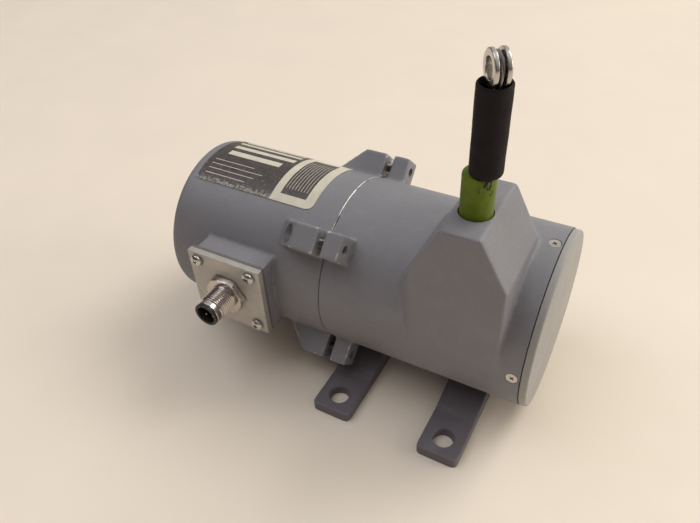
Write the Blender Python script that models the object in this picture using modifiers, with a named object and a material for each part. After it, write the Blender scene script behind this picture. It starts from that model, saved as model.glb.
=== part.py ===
"""Cable-extension rotary encoder: a cable drum and its spring in the front housing turn an
optical encoder in the rear housing. Metres, +Z up, feet on z = 0, shaft along X.

Places are measured from the seam between the two housings (x) and from the shaft's axis (y, z).
"""

from math import cos, pi, radians, sin

import bmesh
import bpy
from mathutils import Matrix, Vector

MM = 0.001
GAP = 0.3 * MM  # between pieces that rest on each other
FIT = 0.05 * MM  # radial clearance of a bore on its shaft

# Driving dimensions
HOUSING_R = 36.5 * MM
REAR_END_X = -77.0 * MM
CAP_SEAM_X = 84.2 * MM
CAP_FACE_X = 87.2 * MM
AXIS_HEIGHT = 44.0 * MM
CONNECTOR_TIP_Y = -60.2 * MM
FOOT_HALF_LENGTH = 53.3 * MM
SEAM_X = -(REAR_END_X + CAP_FACE_X) / 2
AXIS_Y = -(CONNECTOR_TIP_Y + FOOT_HALF_LENGTH) / 2

# Housings
REAR_BORE_R = 32.3 * MM
REAR_WALL_X = -73.0 * MM
SPIGOT_R = 31.9 * MM
SPIGOT_X = -5.0 * MM
BORE_R = 29.5 * MM
CAP_BORE_R = 31.0 * MM
SHOULDER_X = 69.9 * MM
WEB_REAR_X = 1.0 * MM
WEB_FRONT_X = 12.0 * MM
EDGE_R = 2.0 * MM

# Lugs that hold the housings together, on the diagonals
LUG_ANGLES = (45, 135, 225, 315)
LUG_NAMES = ("top_back", "top_near", "bottom_near", "bottom_back")
LUG_TOP_R = 47.0 * MM
LUG_WIDTH = 10.8 * MM
LUG_SCREW_R = 42.0 * MM
FRONT_LUG_X = (2.8 * MM, 10.4 * MM)
REAR_LUG_X = (-10.8 * MM, -0.4 * MM)
LUG_RAMP_X = -21.0 * MM
COUNTERBORE_X = -7.0 * MM

# Cable line and tower
CABLE_X = 57.6 * MM
PITCH_R = 22.2 * MM
CABLE_R = 0.6 * MM
TOWER_TOP = 58.0 * MM
TOWER_FACE_Y = -37.0 * MM
SLEEVE_SEAT = 43.5 * MM
STOP_TOP = 73.4 * MM
END_X = 59.5 * MM  # the cable's end hangs a little towards the cap

# Feet
FOOT_X = (11.9 * MM, 60.3 * MM)
FOOT_WIDTH = 17.5 * MM
FOOT_HOLE_Y = 44.8 * MM
FOOT_HOLE_R = 4.35 * MM
PAD_THICKNESS = 4.6 * MM
FOOT_SCREW_Y = 8.0 * MM

# Connector
PLATE_X = (-58.0 * MM, -21.9 * MM)
BOSS_X = (-55.9 * MM, -21.9 * MM)
PLATE_HALF_HEIGHT = 17.2 * MM
PLATE_Y = (-44.7 * MM, -41.8 * MM)
BOSS_Y = -40.7 * MM
CONNECTOR_X = -40.0 * MM
PLATE_SCREW_OFFSET = 13.25 * MM

# Cap
CAP_SCREW_X = 81.1 * MM
CAP_SPIGOT_X = 75.5 * MM

HOUSING_STEPS = 44

SHAFT_R = 4.0 * MM
ENCODER_SHAFT_R = 3.0 * MM

AXIS = Matrix.Rotation(radians(90), 4, "Y")  # a turned piece's own Z onto the shaft's +X
OUTWARD = Matrix.Rotation(radians(90), 4, "X")  # onto -Y, the way the connector points


def new_collection(name):
    collection = bpy.data.collections.new(name)
    bpy.context.scene.collection.children.link(collection)
    return collection


for leftover in list(bpy.data.objects):
    bpy.data.objects.remove(leftover, do_unlink=True)
PARTS = new_collection("cable_encoder")
CUTTERS = new_collection("cable_encoder_cutters")


def material(name, colour, roughness, metallic=0.0):
    made = bpy.data.materials.new(name)
    made.use_nodes = True
    shader = made.node_tree.nodes["Principled BSDF"]
    shader.inputs["Base Color"].default_value = (*colour, 1.0)
    shader.inputs["Roughness"].default_value = roughness
    shader.inputs["Metallic"].default_value = metallic
    return made


GREY_PAINT = material("grey_paint", (0.22, 0.22, 0.24), 0.5)
CAP_PAINT = material("cap_paint", (0.30, 0.30, 0.29), 0.5)
STEEL = material("steel", (0.60, 0.59, 0.57), 0.3, 1.0)
NICKEL = material("nickel", (0.62, 0.57, 0.50), 0.25, 1.0)
ALUMINIUM = material("aluminium", (0.66, 0.66, 0.64), 0.4, 1.0)
BRONZE = material("bronze", (0.55, 0.40, 0.20), 0.35, 1.0)
GOLD = material("gold", (0.90, 0.68, 0.30), 0.25, 1.0)
BLACK_PLASTIC = material("black_plastic", (0.02, 0.02, 0.02), 0.5)
BLACK_RUBBER = material("black_rubber", (0.015, 0.013, 0.014), 0.75)
GREEN_RUBBER = material("green_rubber", (0.10, 0.15, 0.015), 0.55)
SEAL_RUBBER = material("seal_rubber", (0.03, 0.03, 0.03), 0.6)
LABEL_FILM = material("label_film", (0.45, 0.43, 0.36), 0.4)
BOARD = material("board", (0.03, 0.17, 0.08), 0.45)
GLASS = material("glass", (0.75, 0.80, 0.82), 0.1)
WIRE_JACKET = material("wire_jacket", (0.05, 0.05, 0.06), 0.6)


def empty(name, place, parent=None):
    """A frame of reference that pieces hang from."""
    made = bpy.data.objects.new(name, None)
    made.empty_display_size = 10 * MM
    made.location = place
    made.parent = parent
    PARTS.objects.link(made)
    return made


AXIS_FRAME = empty("axis_frame", (SEAM_X, AXIS_Y, AXIS_HEIGHT))
DRUM_FRAME = empty("drum_frame", (0, 0, 0), AXIS_FRAME)
CABLE_FRAME = empty("cable_frame", (0, 0, 0), AXIS_FRAME)


def add(name, mesh, finish, frame=AXIS_FRAME, matrix=None):
    """A piece in the parts collection, or a cutter where it has no finish."""
    made = bpy.data.objects.new(name, mesh)
    made.parent = frame
    if matrix is not None:
        made.matrix_local = matrix
    if finish is None:
        CUTTERS.objects.link(made)
        made.hide_render = True
        made.display_type = "WIRE"
    else:
        PARTS.objects.link(made)
        mesh.materials.append(finish)
        mesh.shade_smooth()
        mesh.set_sharp_from_angle(angle=radians(35))
    return made


def mesh_from(name, bm):
    bmesh.ops.recalc_face_normals(bm, faces=bm.faces[:])
    mesh = bpy.data.meshes.new(name)
    bm.to_mesh(mesh)
    bm.free()
    return mesh


def rod(name, finish, radius, start, end, segments=24, frame=AXIS_FRAME, top_radius=None):
    """A straight round bar, or a cone where top_radius differs, from start to end."""
    start, end = Vector(start), Vector(end)
    bm = bmesh.new()
    bmesh.ops.create_cone(
        bm, cap_ends=True, segments=segments, depth=(end - start).length,
        radius1=radius, radius2=radius if top_radius is None else top_radius,
    )
    turn = (end - start).to_track_quat("Z", "Y").to_matrix().to_4x4()
    matrix = Matrix.Translation((start + end) / 2) @ turn
    return add(name, mesh_from(name, bm), finish, frame, matrix)


def box(name, finish, low, high, frame=AXIS_FRAME):
    low, high = Vector(low), Vector(high)
    bm = bmesh.new()
    bmesh.ops.create_cube(bm, size=1.0)
    bmesh.ops.scale(bm, vec=high - low, verts=bm.verts[:])
    mesh = mesh_from(name, bm)
    return add(name, mesh, finish, frame, Matrix.Translation((low + high) / 2))


def turned(name, finish, profile, place=(0, 0, 0), facing=AXIS, steps=24, frame=AXIS_FRAME):
    """A closed profile of (radius, height) points turned about its own Z, then faced."""
    area = sum(
        a[0] * b[1] - b[0] * a[1] for a, b in zip(profile, profile[1:] + profile[:1])
    )
    points = profile if area < 0 else profile[::-1]
    mesh = bpy.data.meshes.new(name)
    count = len(points)
    edges = [
        (i, (i + 1) % count) for i in range(count)
        if points[i][0] > 0 or points[(i + 1) % count][0] > 0
    ]
    mesh.from_pydata([(r, 0, h) for r, h in points], edges, [])
    made = add(name, mesh, finish, frame, Matrix.Translation(place) @ facing)
    screw = made.modifiers.new("turn", "SCREW")
    screw.axis = "Z"
    screw.steps = steps
    screw.render_steps = steps
    screw.use_merge_vertices = True
    screw.merge_threshold = 1e-5
    screw.use_normal_calculate = False
    screw.use_smooth_shade = False
    if finish is not None:
        sharp = made.modifiers.new("weld", "WELD")
        sharp.merge_threshold = 1e-6
    return made


def ring(name, finish, inner, outer, start, end, place=(0, 0, 0), **how):
    """A plain turned ring between two radii and two heights."""
    profile = [(inner, start), (outer, start), (outer, end), (inner, end)]
    return turned(name, finish, profile, place, **how)


def o_ring(name, major, minor, x):
    sides = 6
    profile = [
        (major + minor * cos(2 * pi * i / sides), x + minor * sin(2 * pi * i / sides))
        for i in range(sides)
    ]
    return turned(name, SEAL_RUBBER, profile, steps=32)


def mesh_of_curve(made):
    """The curve's closed mesh as an object in its place."""
    bpy.context.view_layer.update()
    graph = bpy.context.evaluated_depsgraph_get()
    mesh = bpy.data.meshes.new_from_object(made.evaluated_get(graph))
    bm = bmesh.new()
    bm.from_mesh(mesh)
    bmesh.ops.remove_doubles(bm, verts=bm.verts[:], dist=1e-6)
    bmesh.ops.recalc_face_normals(bm, faces=bm.faces[:])
    bm.to_mesh(mesh)
    bm.free()
    bpy.data.objects.remove(made, do_unlink=True)
    return mesh


def extruded(name, finish, outline, depth, matrix, frame=AXIS_FRAME):
    """A flat outline of (u, v) points made depth thick about its own XY plane."""
    curve = bpy.data.curves.new(name, "CURVE")
    curve.dimensions = "2D"
    curve.fill_mode = "BOTH"
    curve.extrude = depth / 2
    spline = curve.splines.new("POLY")
    spline.points.add(len(outline) - 1)
    for point, (u, v) in zip(spline.points, outline):
        point.co = (u, v, 0, 1)
    spline.use_cyclic_u = True
    made = bpy.data.objects.new(name + "_outline", curve)
    PARTS.objects.link(made)
    return add(name, mesh_of_curve(made), finish, frame, matrix)


def tube(name, finish, points, radius, frame=AXIS_FRAME, sides=2):
    """A round wire along the points, with filled caps."""
    curve = bpy.data.curves.new(name, "CURVE")
    curve.dimensions = "3D"
    curve.bevel_depth = radius
    curve.bevel_resolution = sides
    curve.use_fill_caps = True
    spline = curve.splines.new("POLY")
    spline.points.add(len(points) - 1)
    for point, place in zip(spline.points, points):
        point.co = (*place, 1)
    made = bpy.data.objects.new(name + "_path", curve)
    PARTS.objects.link(made)
    return add(name, mesh_of_curve(made), finish, frame)


def trim(piece, point, normal):
    """Cuts away what lies beyond a plane, and closes the cut."""
    bm = bmesh.new()
    bm.from_mesh(piece.data)
    local = piece.matrix_basis.inverted()
    geometry = bm.verts[:] + bm.edges[:] + bm.faces[:]
    cut = bmesh.ops.bisect_plane(
        bm, geom=geometry, plane_co=local @ Vector(point),
        plane_no=local.to_3x3() @ Vector(normal), clear_outer=True,
    )
    edges = [item for item in cut["geom_cut"] if isinstance(item, bmesh.types.BMEdge)]
    bmesh.ops.holes_fill(bm, edges=edges)
    bmesh.ops.recalc_face_normals(bm, faces=bm.faces[:])
    bm.to_mesh(piece.data)
    bm.free()


def combine(piece, operation, others):
    for other in others:
        modifier = piece.modifiers.new(other.name, "BOOLEAN")
        modifier.operation = operation
        modifier.solver = "EXACT"
        modifier.object = other


def join(piece, *others):
    combine(piece, "UNION", others)


def cut(piece, *others):
    combine(piece, "DIFFERENCE", others)


def around(angle, x, radius, across=0.0):
    """The point at a radius and angle about the shaft, 0 degrees at +Y and 90 at +Z."""
    a = radians(angle)
    return Vector((x, radius * cos(a) - across * sin(a), radius * sin(a) + across * cos(a)))


def round_corner(centre, radius, start, end, steps=3):
    """Points of an arc about centre, between two angles in degrees."""
    return [
        (
            centre[0] + radius * cos(radians(start + (end - start) * i / steps)),
            centre[1] + radius * sin(radians(start + (end - start) * i / steps)),
        )
        for i in range(steps + 1)
    ]


def hexagon(across_flats):
    corner = across_flats / 2 / cos(pi / 6)
    return [(corner * cos(pi * i / 3), corner * sin(pi * i / 3)) for i in range(6)]


def lug(name, angle, outline):
    """A lug block: an outline of (x, radius) points, LUG_WIDTH wide, at an angle."""
    upright = Matrix.Rotation(radians(90), 4, "X")
    turn = Matrix.Rotation(radians(angle - 90), 4, "X")
    return extruded(name, None, outline, LUG_WIDTH, turn @ upright)


def rear_housing():
    profile = [(0, REAR_END_X)]
    profile += round_corner((HOUSING_R - EDGE_R, REAR_END_X + EDGE_R), EDGE_R, -90, 0)
    profile += [(HOUSING_R, -GAP / 2), (0, -GAP / 2)]
    body = turned("rear_housing", GREY_PAINT, profile, steps=HOUSING_STEPS)
    boss = box(
        "boss_block", None, (BOSS_X[0], BOSS_Y, -PLATE_HALF_HEIGHT),
        (BOSS_X[1], -25 * MM, PLATE_HALF_HEIGHT),
    )
    join(body, boss)
    outline = [
        (REAR_LUG_X[1], 30 * MM), (REAR_LUG_X[1], LUG_TOP_R), (REAR_LUG_X[0], LUG_TOP_R),
        (LUG_RAMP_X, HOUSING_R - 0.5 * MM), (LUG_RAMP_X, 30 * MM),
    ]
    for label, angle in zip(LUG_NAMES, LUG_ANGLES):
        join(body, lug("rear_lug_" + label, angle, outline))
    cut(body, rod("rear_bore", None, REAR_BORE_R, (REAR_WALL_X, 0, 0), (2 * MM, 0, 0), HOUSING_STEPS))
    cut(body, rod(
        "connector_window", None, 12 * MM,
        (CONNECTOR_X, BOSS_Y - MM, 0), (CONNECTOR_X, -27 * MM, 0), 32,
    ))
    for i, (x, z) in enumerate(plate_screw_places()):
        cut(body, rod(f"plate_thread_{i}", None, 1.5 * MM, (x, BOSS_Y - MM, z), (x, -32.6 * MM, z), 12))
    for label, angle in zip(LUG_NAMES, LUG_ANGLES):
        start = around(angle, -30 * MM, LUG_SCREW_R)
        seat = around(angle, COUNTERBORE_X, LUG_SCREW_R)
        end = around(angle, 2 * MM, LUG_SCREW_R)
        cut(body, rod("counterbore_" + label, None, 3.9 * MM, start, seat, 20))
        cut(body, rod("lug_hole_" + label, None, 2.3 * MM, start, end, 16))
    return body


def tower():
    """The cable outlet: flanks rise to a flat top, and the back falls away like a hip roof."""
    left, right = CABLE_X - 7.2 * MM, CABLE_X + 7.0 * MM
    flank = 0.495
    foot_z = 9 * MM
    outline = [
        (left, TOWER_TOP), (left - flank * (TOWER_TOP - foot_z), foot_z),
        (left - flank * (TOWER_TOP - foot_z), 0), (75.2 * MM, 0), (75.2 * MM, 38.6 * MM),
        (right, TOWER_TOP),
    ]
    back_y = 22 * MM
    middle = Matrix.Translation((0, (TOWER_FACE_Y + back_y) / 2, 0))
    block = extruded("tower_block", None, outline, back_y - TOWER_FACE_Y, middle @ OUTWARD)
    hip = (0.769, 0.508, 0.391)
    trim(block, (0, -0.5 * MM, TOWER_TOP), (0, 0.842, 0.539))
    trim(block, (right, -0.5 * MM, TOWER_TOP), hip)
    trim(block, (left, -0.5 * MM, TOWER_TOP), (-hip[0], hip[1], hip[2]))
    trim(block, (40 * MM, TOWER_FACE_Y, 0), (-0.664, -0.748, 0))
    return block


def front_housing():
    end = CAP_SEAM_X - GAP / 2
    profile = [
        (0, SPIGOT_X), (SPIGOT_R, SPIGOT_X), (SPIGOT_R, GAP / 2), (HOUSING_R, GAP / 2),
        (HOUSING_R, end), (0, end),
    ]
    body = turned("front_housing", GREY_PAINT, profile, steps=HOUSING_STEPS)
    outline = [
        (FRONT_LUG_X[0], 30 * MM), (FRONT_LUG_X[1], 30 * MM),
        (FRONT_LUG_X[1], LUG_TOP_R), (FRONT_LUG_X[0], LUG_TOP_R),
    ]
    join(body, tower())
    for label, angle in zip(LUG_NAMES, LUG_ANGLES):
        join(body, lug("front_lug_" + label, angle, outline))
    hollow = [
        (0, CAP_SEAM_X + MM), (CAP_BORE_R, CAP_SEAM_X + MM), (CAP_BORE_R, SHOULDER_X),
        (BORE_R, SHOULDER_X), (BORE_R, WEB_FRONT_X), (11.05 * MM, WEB_FRONT_X),
        (11.05 * MM, 4.8 * MM), (9 * MM, 4.8 * MM), (9 * MM, WEB_REAR_X),
        (27 * MM, WEB_REAR_X), (27 * MM, SPIGOT_X - MM), (0, SPIGOT_X - MM),
    ]
    cut(body, turned("front_hollow", None, hollow, steps=HOUSING_STEPS))
    cut(body, ring("seal_groove", None, 30.1 * MM, 33 * MM, -3.9 * MM, -1.7 * MM, steps=HOUSING_STEPS))
    line = (CABLE_X, -PITCH_R)
    cut(body, rod("guide_bore", None, 4.3 * MM, (*line, 12 * MM), (*line, 60 * MM), 24))
    cut(body, rod("sleeve_bore", None, 6.3 * MM, (*line, SLEEVE_SEAT), (*line, 60 * MM), 32))
    for label, angle in zip(LUG_NAMES, LUG_ANGLES):
        start = around(angle, 2 * MM, LUG_SCREW_R)
        stop = around(angle, 12 * MM, LUG_SCREW_R)
        cut(body, rod("lug_thread_" + label, None, 2.3 * MM, start, stop, 16))
    for label, angle in CAP_SCREWS:
        hole = around(angle, CAP_SCREW_X, 28 * MM)
        face = around(angle, CAP_SCREW_X, HOUSING_R + 0.3 * MM)
        neck = around(angle, CAP_SCREW_X, HOUSING_R - 1.5 * MM)
        cut(body, rod("cap_hole_" + label, None, 1.5 * MM, hole, face, 12))
        cut(body, rod(
            "cap_countersink_" + label, None, 1.5 * MM, neck, face, 16, top_radius=2.85 * MM,
        ))
    for i, (x, y) in enumerate(foot_screw_places()):
        low, high = (x, y, -AXIS_HEIGHT), (x, y, -31.3 * MM)
        cut(body, rod(f"foot_thread_{i}", None, 2.0 * MM, low, high, 12))
    return body


CAP_SCREWS = (("top", 90), ("back", 0), ("bottom", 270), ("near", 180))


def plate_screw_places():
    offset = PLATE_SCREW_OFFSET
    return [(CONNECTOR_X + sx * offset, sz * offset) for sz in (1, -1) for sx in (-1, 1)]


def foot_screw_places():
    return [(x, sy * FOOT_SCREW_Y) for x in FOOT_X for sy in (-1, 1)]


def screw(name, finish, profile, place, direction, drive=None, steps=12):
    """A screw whose head top is at place and whose point lies along direction."""
    facing = (-Vector(direction)).to_track_quat("Z", "Y").to_matrix().to_4x4()
    made = turned(name, finish, profile, place, facing, steps)
    if drive:
        width, depth = drive
        matrix = Matrix.Translation(place) @ facing
        for i, arm in enumerate(((width, width / 4), (width / 4, width))):
            bm = bmesh.new()
            bmesh.ops.create_cube(bm, size=1.0)
            bmesh.ops.scale(bm, vec=(*arm, 2 * depth), verts=bm.verts[:])
            slot = add(f"{name}_slot_{i}", mesh_from(name, bm), None, AXIS_FRAME, matrix)
            cut(made, slot)
    return made


def countersunk(head_r, head_h, shank_r, length):
    return [(0, 0), (head_r, 0), (shank_r, -head_h), (shank_r, -length), (0, -length)]


def pan_head(head_r, head_h, shank_r, length):
    return [
        (0, 0), (head_r * 0.72, 0), (head_r, -head_h * 0.5), (head_r, -head_h),
        (shank_r, -head_h), (shank_r, -length), (0, -length),
    ]


def housing_screws():
    for label, angle in zip(LUG_NAMES, LUG_ANGLES):
        head = around(angle, COUNTERBORE_X - GAP - 4 * MM, LUG_SCREW_R)
        made = screw(
            "lug_screw_" + label, STEEL,
            [
                (0, 0), (3.2 * MM, 0), (3.5 * MM, -0.3 * MM), (3.5 * MM, -4 * MM),
                (2 * MM, -4 * MM), (2 * MM, -20.4 * MM), (0, -20.4 * MM),
            ],
            head, (1, 0, 0),
        )
        socket = extruded(
            "socket_" + label, None, hexagon(3 * MM), 4 * MM,
            Matrix.Translation(head) @ Matrix.Rotation(radians(-90), 4, "Y"),
        )
        cut(made, socket)
    for label, angle in CAP_SCREWS:
        head = around(angle, CAP_SCREW_X, HOUSING_R - 0.25 * MM)
        screw(
            "cap_screw_" + label, STEEL, countersunk(2.3 * MM, 1.3 * MM, 1.2 * MM, 9.5 * MM),
            head, around(angle, 0, -1), (2.4 * MM, 0.7 * MM),
        )
    for i, (x, z) in enumerate(plate_screw_places()):
        screw(
            f"plate_screw_{i + 1}", STEEL, pan_head(2.8 * MM, 1.8 * MM, 1.2 * MM, 11 * MM),
            (x, PLATE_Y[0] - GAP - 1.8 * MM, z), (0, 1, 0), (3.0 * MM, 0.9 * MM),
        )
    for i, (x, y) in enumerate(foot_screw_places()):
        screw(
            f"foot_screw_{i + 1}", STEEL, countersunk(3.6 * MM, 2.2 * MM, 1.7 * MM, 11.4 * MM),
            (x, y, -AXIS_HEIGHT + 0.6 * MM), (0, 0, 1), (3.4 * MM, 1.0 * MM),
        )


def end_cap():
    rim = 0.9 * MM
    profile = [
        (0, CAP_FACE_X), (HOUSING_R - 0.3 * MM - rim, CAP_FACE_X),
        (HOUSING_R - 0.3 * MM, CAP_FACE_X - rim),
        (HOUSING_R - 0.3 * MM, CAP_SEAM_X + GAP / 2), (30.7 * MM, CAP_SEAM_X + GAP / 2),
        (30.7 * MM, CAP_SPIGOT_X), (26.5 * MM, CAP_SPIGOT_X), (26.5 * MM, 83 * MM), (0, 83 * MM),
    ]
    body = turned("end_cap", CAP_PAINT, profile, steps=HOUSING_STEPS)
    for label, angle in CAP_SCREWS:
        inside, outside = (around(angle, CAP_SCREW_X, r) for r in (25 * MM, 32 * MM))
        cut(body, rod("cap_thread_" + label, None, 1.5 * MM, inside, outside, 12))
    o_ring("seam_seal_ring", 31.2 * MM, 0.75 * MM, -2.8 * MM)


def feet():
    """Bars across the barrel: flat ends on the ground, rising to a saddle under the barrel."""
    half, top = FOOT_HALF_LENGTH, PAD_THICKNESS
    saddle_y, saddle_z = 12.7 * MM, 9.8 * MM
    half_outline = [(half, 0), (half, top), (33 * MM, top), (saddle_y, saddle_z)]
    outline = half_outline + [(-y, z) for y, z in reversed(half_outline)]
    stand = Matrix(((0, 0, 1, 0), (1, 0, 0, 0), (0, 1, 0, 0), (0, 0, 0, 1)))
    for label, x in zip(("rear_foot", "front_foot"), FOOT_X):
        place = Matrix.Translation((x, 0, -AXIS_HEIGHT))
        foot = extruded(label, GREY_PAINT, outline, FOOT_WIDTH, place @ stand)
        ends = (x - 20 * MM, 0, 0), (x + 20 * MM, 0, 0)
        cut(foot, rod(label + "_saddle", None, HOUSING_R + GAP, *ends, HOUSING_STEPS))
        for side in (-1, 1):
            hole = (x, side * FOOT_HOLE_Y)
            low, high = -AXIS_HEIGHT - 2 * MM, -AXIS_HEIGHT + 8 * MM
            cut(foot, rod(
                f"{label}_hole_{side}", None, FOOT_HOLE_R, (*hole, low), (*hole, high), 24,
            ))
            y = side * FOOT_SCREW_Y
            cut(foot, rod(
                f"{label}_screw_hole_{side}", None, 2.0 * MM, (x, y, low), (x, y, -30 * MM), 12,
            ))
            cut(foot, rod(
                f"{label}_countersink_{side}", None, 4.6 * MM, (x, y, -AXIS_HEIGHT - 0.3 * MM),
                (x, y, -AXIS_HEIGHT + 2.9 * MM), 16, top_radius=2.0 * MM,
            ))


def connector():
    plate = box(
        "connector_plate", ALUMINIUM, (PLATE_X[0], PLATE_Y[0], -PLATE_HALF_HEIGHT),
        (PLATE_X[1], PLATE_Y[1], PLATE_HALF_HEIGHT),
    )
    gasket_half = PLATE_HALF_HEIGHT - 0.5 * MM
    gasket = box(
        "plate_gasket", SEAL_RUBBER, (BOSS_X[0] + 0.5 * MM, PLATE_Y[1] + GAP, -gasket_half),
        (BOSS_X[1] - 0.5 * MM, BOSS_Y - GAP, gasket_half),
    )
    ends = (CONNECTOR_X, PLATE_Y[0] - MM, 0), (CONNECTOR_X, BOSS_Y + MM, 0)
    cut(plate, rod("plate_hole", None, 8.0 * MM, *ends, 32))
    cut(gasket, rod("gasket_hole", None, 12.0 * MM, *ends, 32))
    for i, (x, z) in enumerate(plate_screw_places()):
        hole = rod(
            f"plate_screw_hole_{i}", None, 1.6 * MM,
            (x, PLATE_Y[0] - MM, z), (x, BOSS_Y + MM, z), 12,
        )
        cut(plate, hole)
        cut(gasket, hole)
    tip = -CONNECTOR_TIP_Y
    face = -PLATE_Y[0]
    shell = turned(
        "connector_shell", NICKEL,
        [
            (5.2 * MM, 36.2 * MM), (7.7 * MM, 36.2 * MM), (7.7 * MM, face + 0.6 * MM),
            (5.95 * MM, face + 0.6 * MM), (5.95 * MM, tip - 0.7 * MM), (5.45 * MM, tip),
            (5.2 * MM, tip),
        ],
        (CONNECTOR_X, 0, 0), OUTWARD, 32,
    )
    flange = extruded(
        "connector_flange", None, hexagon(17 * MM), 2.9 * MM,
        Matrix.Translation((CONNECTOR_X, -(face + GAP + 1.45 * MM), 0)) @ OUTWARD,
    )
    bore = rod(
        "flange_bore", None, 5.6 * MM, (CONNECTOR_X, -face, 0), (CONNECTOR_X, -face - 5 * MM, 0), 32,
    )
    cut(flange, bore)
    join(shell, flange)
    locknut = extruded(
        "connector_locknut", NICKEL, hexagon(19 * MM), 2.8 * MM,
        Matrix.Translation((CONNECTOR_X, PLATE_Y[1] + GAP + 1.4 * MM, 0)) @ OUTWARD,
    )
    ends = (CONNECTOR_X, PLATE_Y[1], 0), (CONNECTOR_X, PLATE_Y[1] + 5 * MM, 0)
    cut(locknut, rod("locknut_bore", None, 8.0 * MM, *ends, 32))
    socket = 52.5 * MM
    turned(
        "connector_insert", BLACK_PLASTIC,
        [
            (0, 35.4 * MM), (4.9 * MM, 35.4 * MM), (4.9 * MM, tip - GAP),
            (4.2 * MM, tip - GAP), (4.2 * MM, socket), (0, socket),
        ],
        (CONNECTOR_X, 0, 0), OUTWARD, 24,
    )
    for i in range(4):
        angle = radians(45 + 90 * i)
        u, v = 2.6 * MM * cos(angle), 2.6 * MM * sin(angle)
        base, point = (CONNECTOR_X + u, -socket - GAP, v), (CONNECTOR_X + u, -58.9 * MM, v)
        rod(f"contact_pin_{i + 1}", GOLD, 0.5 * MM, base, point, 8)
    wiring = [
        (CONNECTOR_X, -35.0 * MM, 0), (CONNECTOR_X - 0.4 * MM, -33.4 * MM, 0.3 * MM),
        (-43.6 * MM, -31.2 * MM, 1.4 * MM), (-46.6 * MM, -28.6 * MM, 2.4 * MM),
        (-48.6 * MM, -24 * MM, 2.6 * MM), (-49.4 * MM, -18 * MM, 2.2 * MM),
        (-49.2 * MM, -12 * MM, 1.4 * MM), (-48.0 * MM, -6 * MM, 0.6 * MM),
        (-46.0 * MM, -2 * MM, 0.1 * MM), (-44.2 * MM, -0.4 * MM, 0), (-42.9 * MM, 0, 0),
    ]
    tube("connector_wiring", WIRE_JACKET, wiring, 1.2 * MM)


def label():
    """A thin printed film bent over the top of the rear housing."""
    low, high = -72 * MM, -12.5 * MM
    start, end = 55, 117
    thickness = 0.25 * MM
    first = around(start, 0, HOUSING_R + GAP + thickness / 2)
    mesh = bpy.data.meshes.new("label_edge")
    mesh.from_pydata([(low, first.y, first.z), (high, first.y, first.z)], [(0, 1)], [])
    made = add("rating_label", mesh, LABEL_FILM)
    bend = made.modifiers.new("bend", "SCREW")
    bend.axis = "X"
    bend.angle = radians(end - start)
    bend.steps = 14
    bend.render_steps = 14
    bend.merge_threshold = 1e-5
    thick = made.modifiers.new("thick", "SOLIDIFY")
    thick.thickness = thickness
    thick.offset = 0


def cable_outlet():
    """The green sleeve that the cable's end rests on, and the bush that guides the cable."""
    line = (CABLE_X, -PITCH_R, 0)
    upright = Matrix.Identity(4)
    turned(
        "stop_sleeve", GREEN_RUBBER,
        [
            (3.3 * MM, 45.8 * MM), (5.95 * MM, 45.8 * MM), (5.95 * MM, STOP_TOP - 0.4 * MM),
            (5.55 * MM, STOP_TOP), (3.3 * MM, STOP_TOP),
        ],
        line, upright, 32,
    )
    turned(
        "cable_guide", BRONZE,
        [
            (2.6 * MM, 31 * MM), (4.0 * MM, 31 * MM), (4.0 * MM, 43.8 * MM),
            (5.9 * MM, 43.8 * MM), (5.9 * MM, 45.5 * MM), (2.6 * MM, 45.5 * MM),
            (1.3 * MM, 43.5 * MM), (1.3 * MM, 33 * MM),
        ],
        line, upright, 24,
    )


def bearing(name, x, width, bore, outside, inner_frame):
    """A shielded ball bearing as its outer ring and its inner ring."""
    step = (outside - bore) * 0.28
    shield = 0.5 * MM
    race = bore + step + 0.4 * MM
    ring(name + "_inner_ring", STEEL, bore + FIT, bore + step, x, x + width, frame=inner_frame)
    profile = [
        (race, x), (outside - FIT, x), (outside - FIT, x + width), (race, x + width),
        (race, x + width - shield), (outside - step, x + width - shield),
        (outside - step, x + shield), (race, x + shield),
    ]
    turned(name + "_outer_ring", STEEL, profile)


def front_bearing_plate():
    rim = CAP_BORE_R - GAP
    start, end = SHOULDER_X + GAP, CAP_SPIGOT_X - GAP
    profile = [
        (9 * MM, 66.6 * MM), (14 * MM, 66.6 * MM), (14 * MM, start), (rim, start), (rim, end),
        (11.05 * MM, end), (11.05 * MM, 68 * MM), (9 * MM, 68 * MM),
    ]
    turned("bearing_plate", ALUMINIUM, profile, steps=32)
    bearing("front_bearing", 68.1 * MM, 7 * MM, SHAFT_R, 11.05 * MM, DRUM_FRAME)
    bearing("rear_bearing", 4.9 * MM, 7 * MM, SHAFT_R, 11.05 * MM, DRUM_FRAME)


def spring_motor():
    case_r, wall = 28.6 * MM, 1.5 * MM
    low, high = 14 * MM, 41 * MM
    profile = [
        (9.5 * MM, low), (case_r, low), (case_r, high), (case_r - wall, high),
        (case_r - wall, low + wall), (9.5 * MM, low + wall),
    ]
    turned("spring_case", STEEL, profile, steps=32)
    ring("spring_case_cover", STEEL, 9.5 * MM, case_r, high + GAP, high + GAP + wall, steps=32)
    ring("spring_arbor", STEEL, SHAFT_R + FIT, 8 * MM, 14.4 * MM, 42 * MM,
         frame=DRUM_FRAME, steps=24)
    turns, per_turn = 5, 16
    inner, outer = 8.9 * MM, case_r - wall - 0.5 * MM
    count = turns * per_turn
    thickness = 0.5 * MM

    def spiral(offset):
        return [
            ((inner + (outer - inner) * i / count + offset) * cos(2 * pi * i / per_turn),
             (inner + (outer - inner) * i / count + offset) * sin(2 * pi * i / per_turn))
            for i in range(count + 1)
        ]

    strip = spiral(0) + spiral(-thickness)[::-1]
    place = Matrix.Translation(((low + wall + high) / 2, 0, 0)) @ AXIS
    extruded("power_spring", STEEL, strip, 23 * MM, place)


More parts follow.
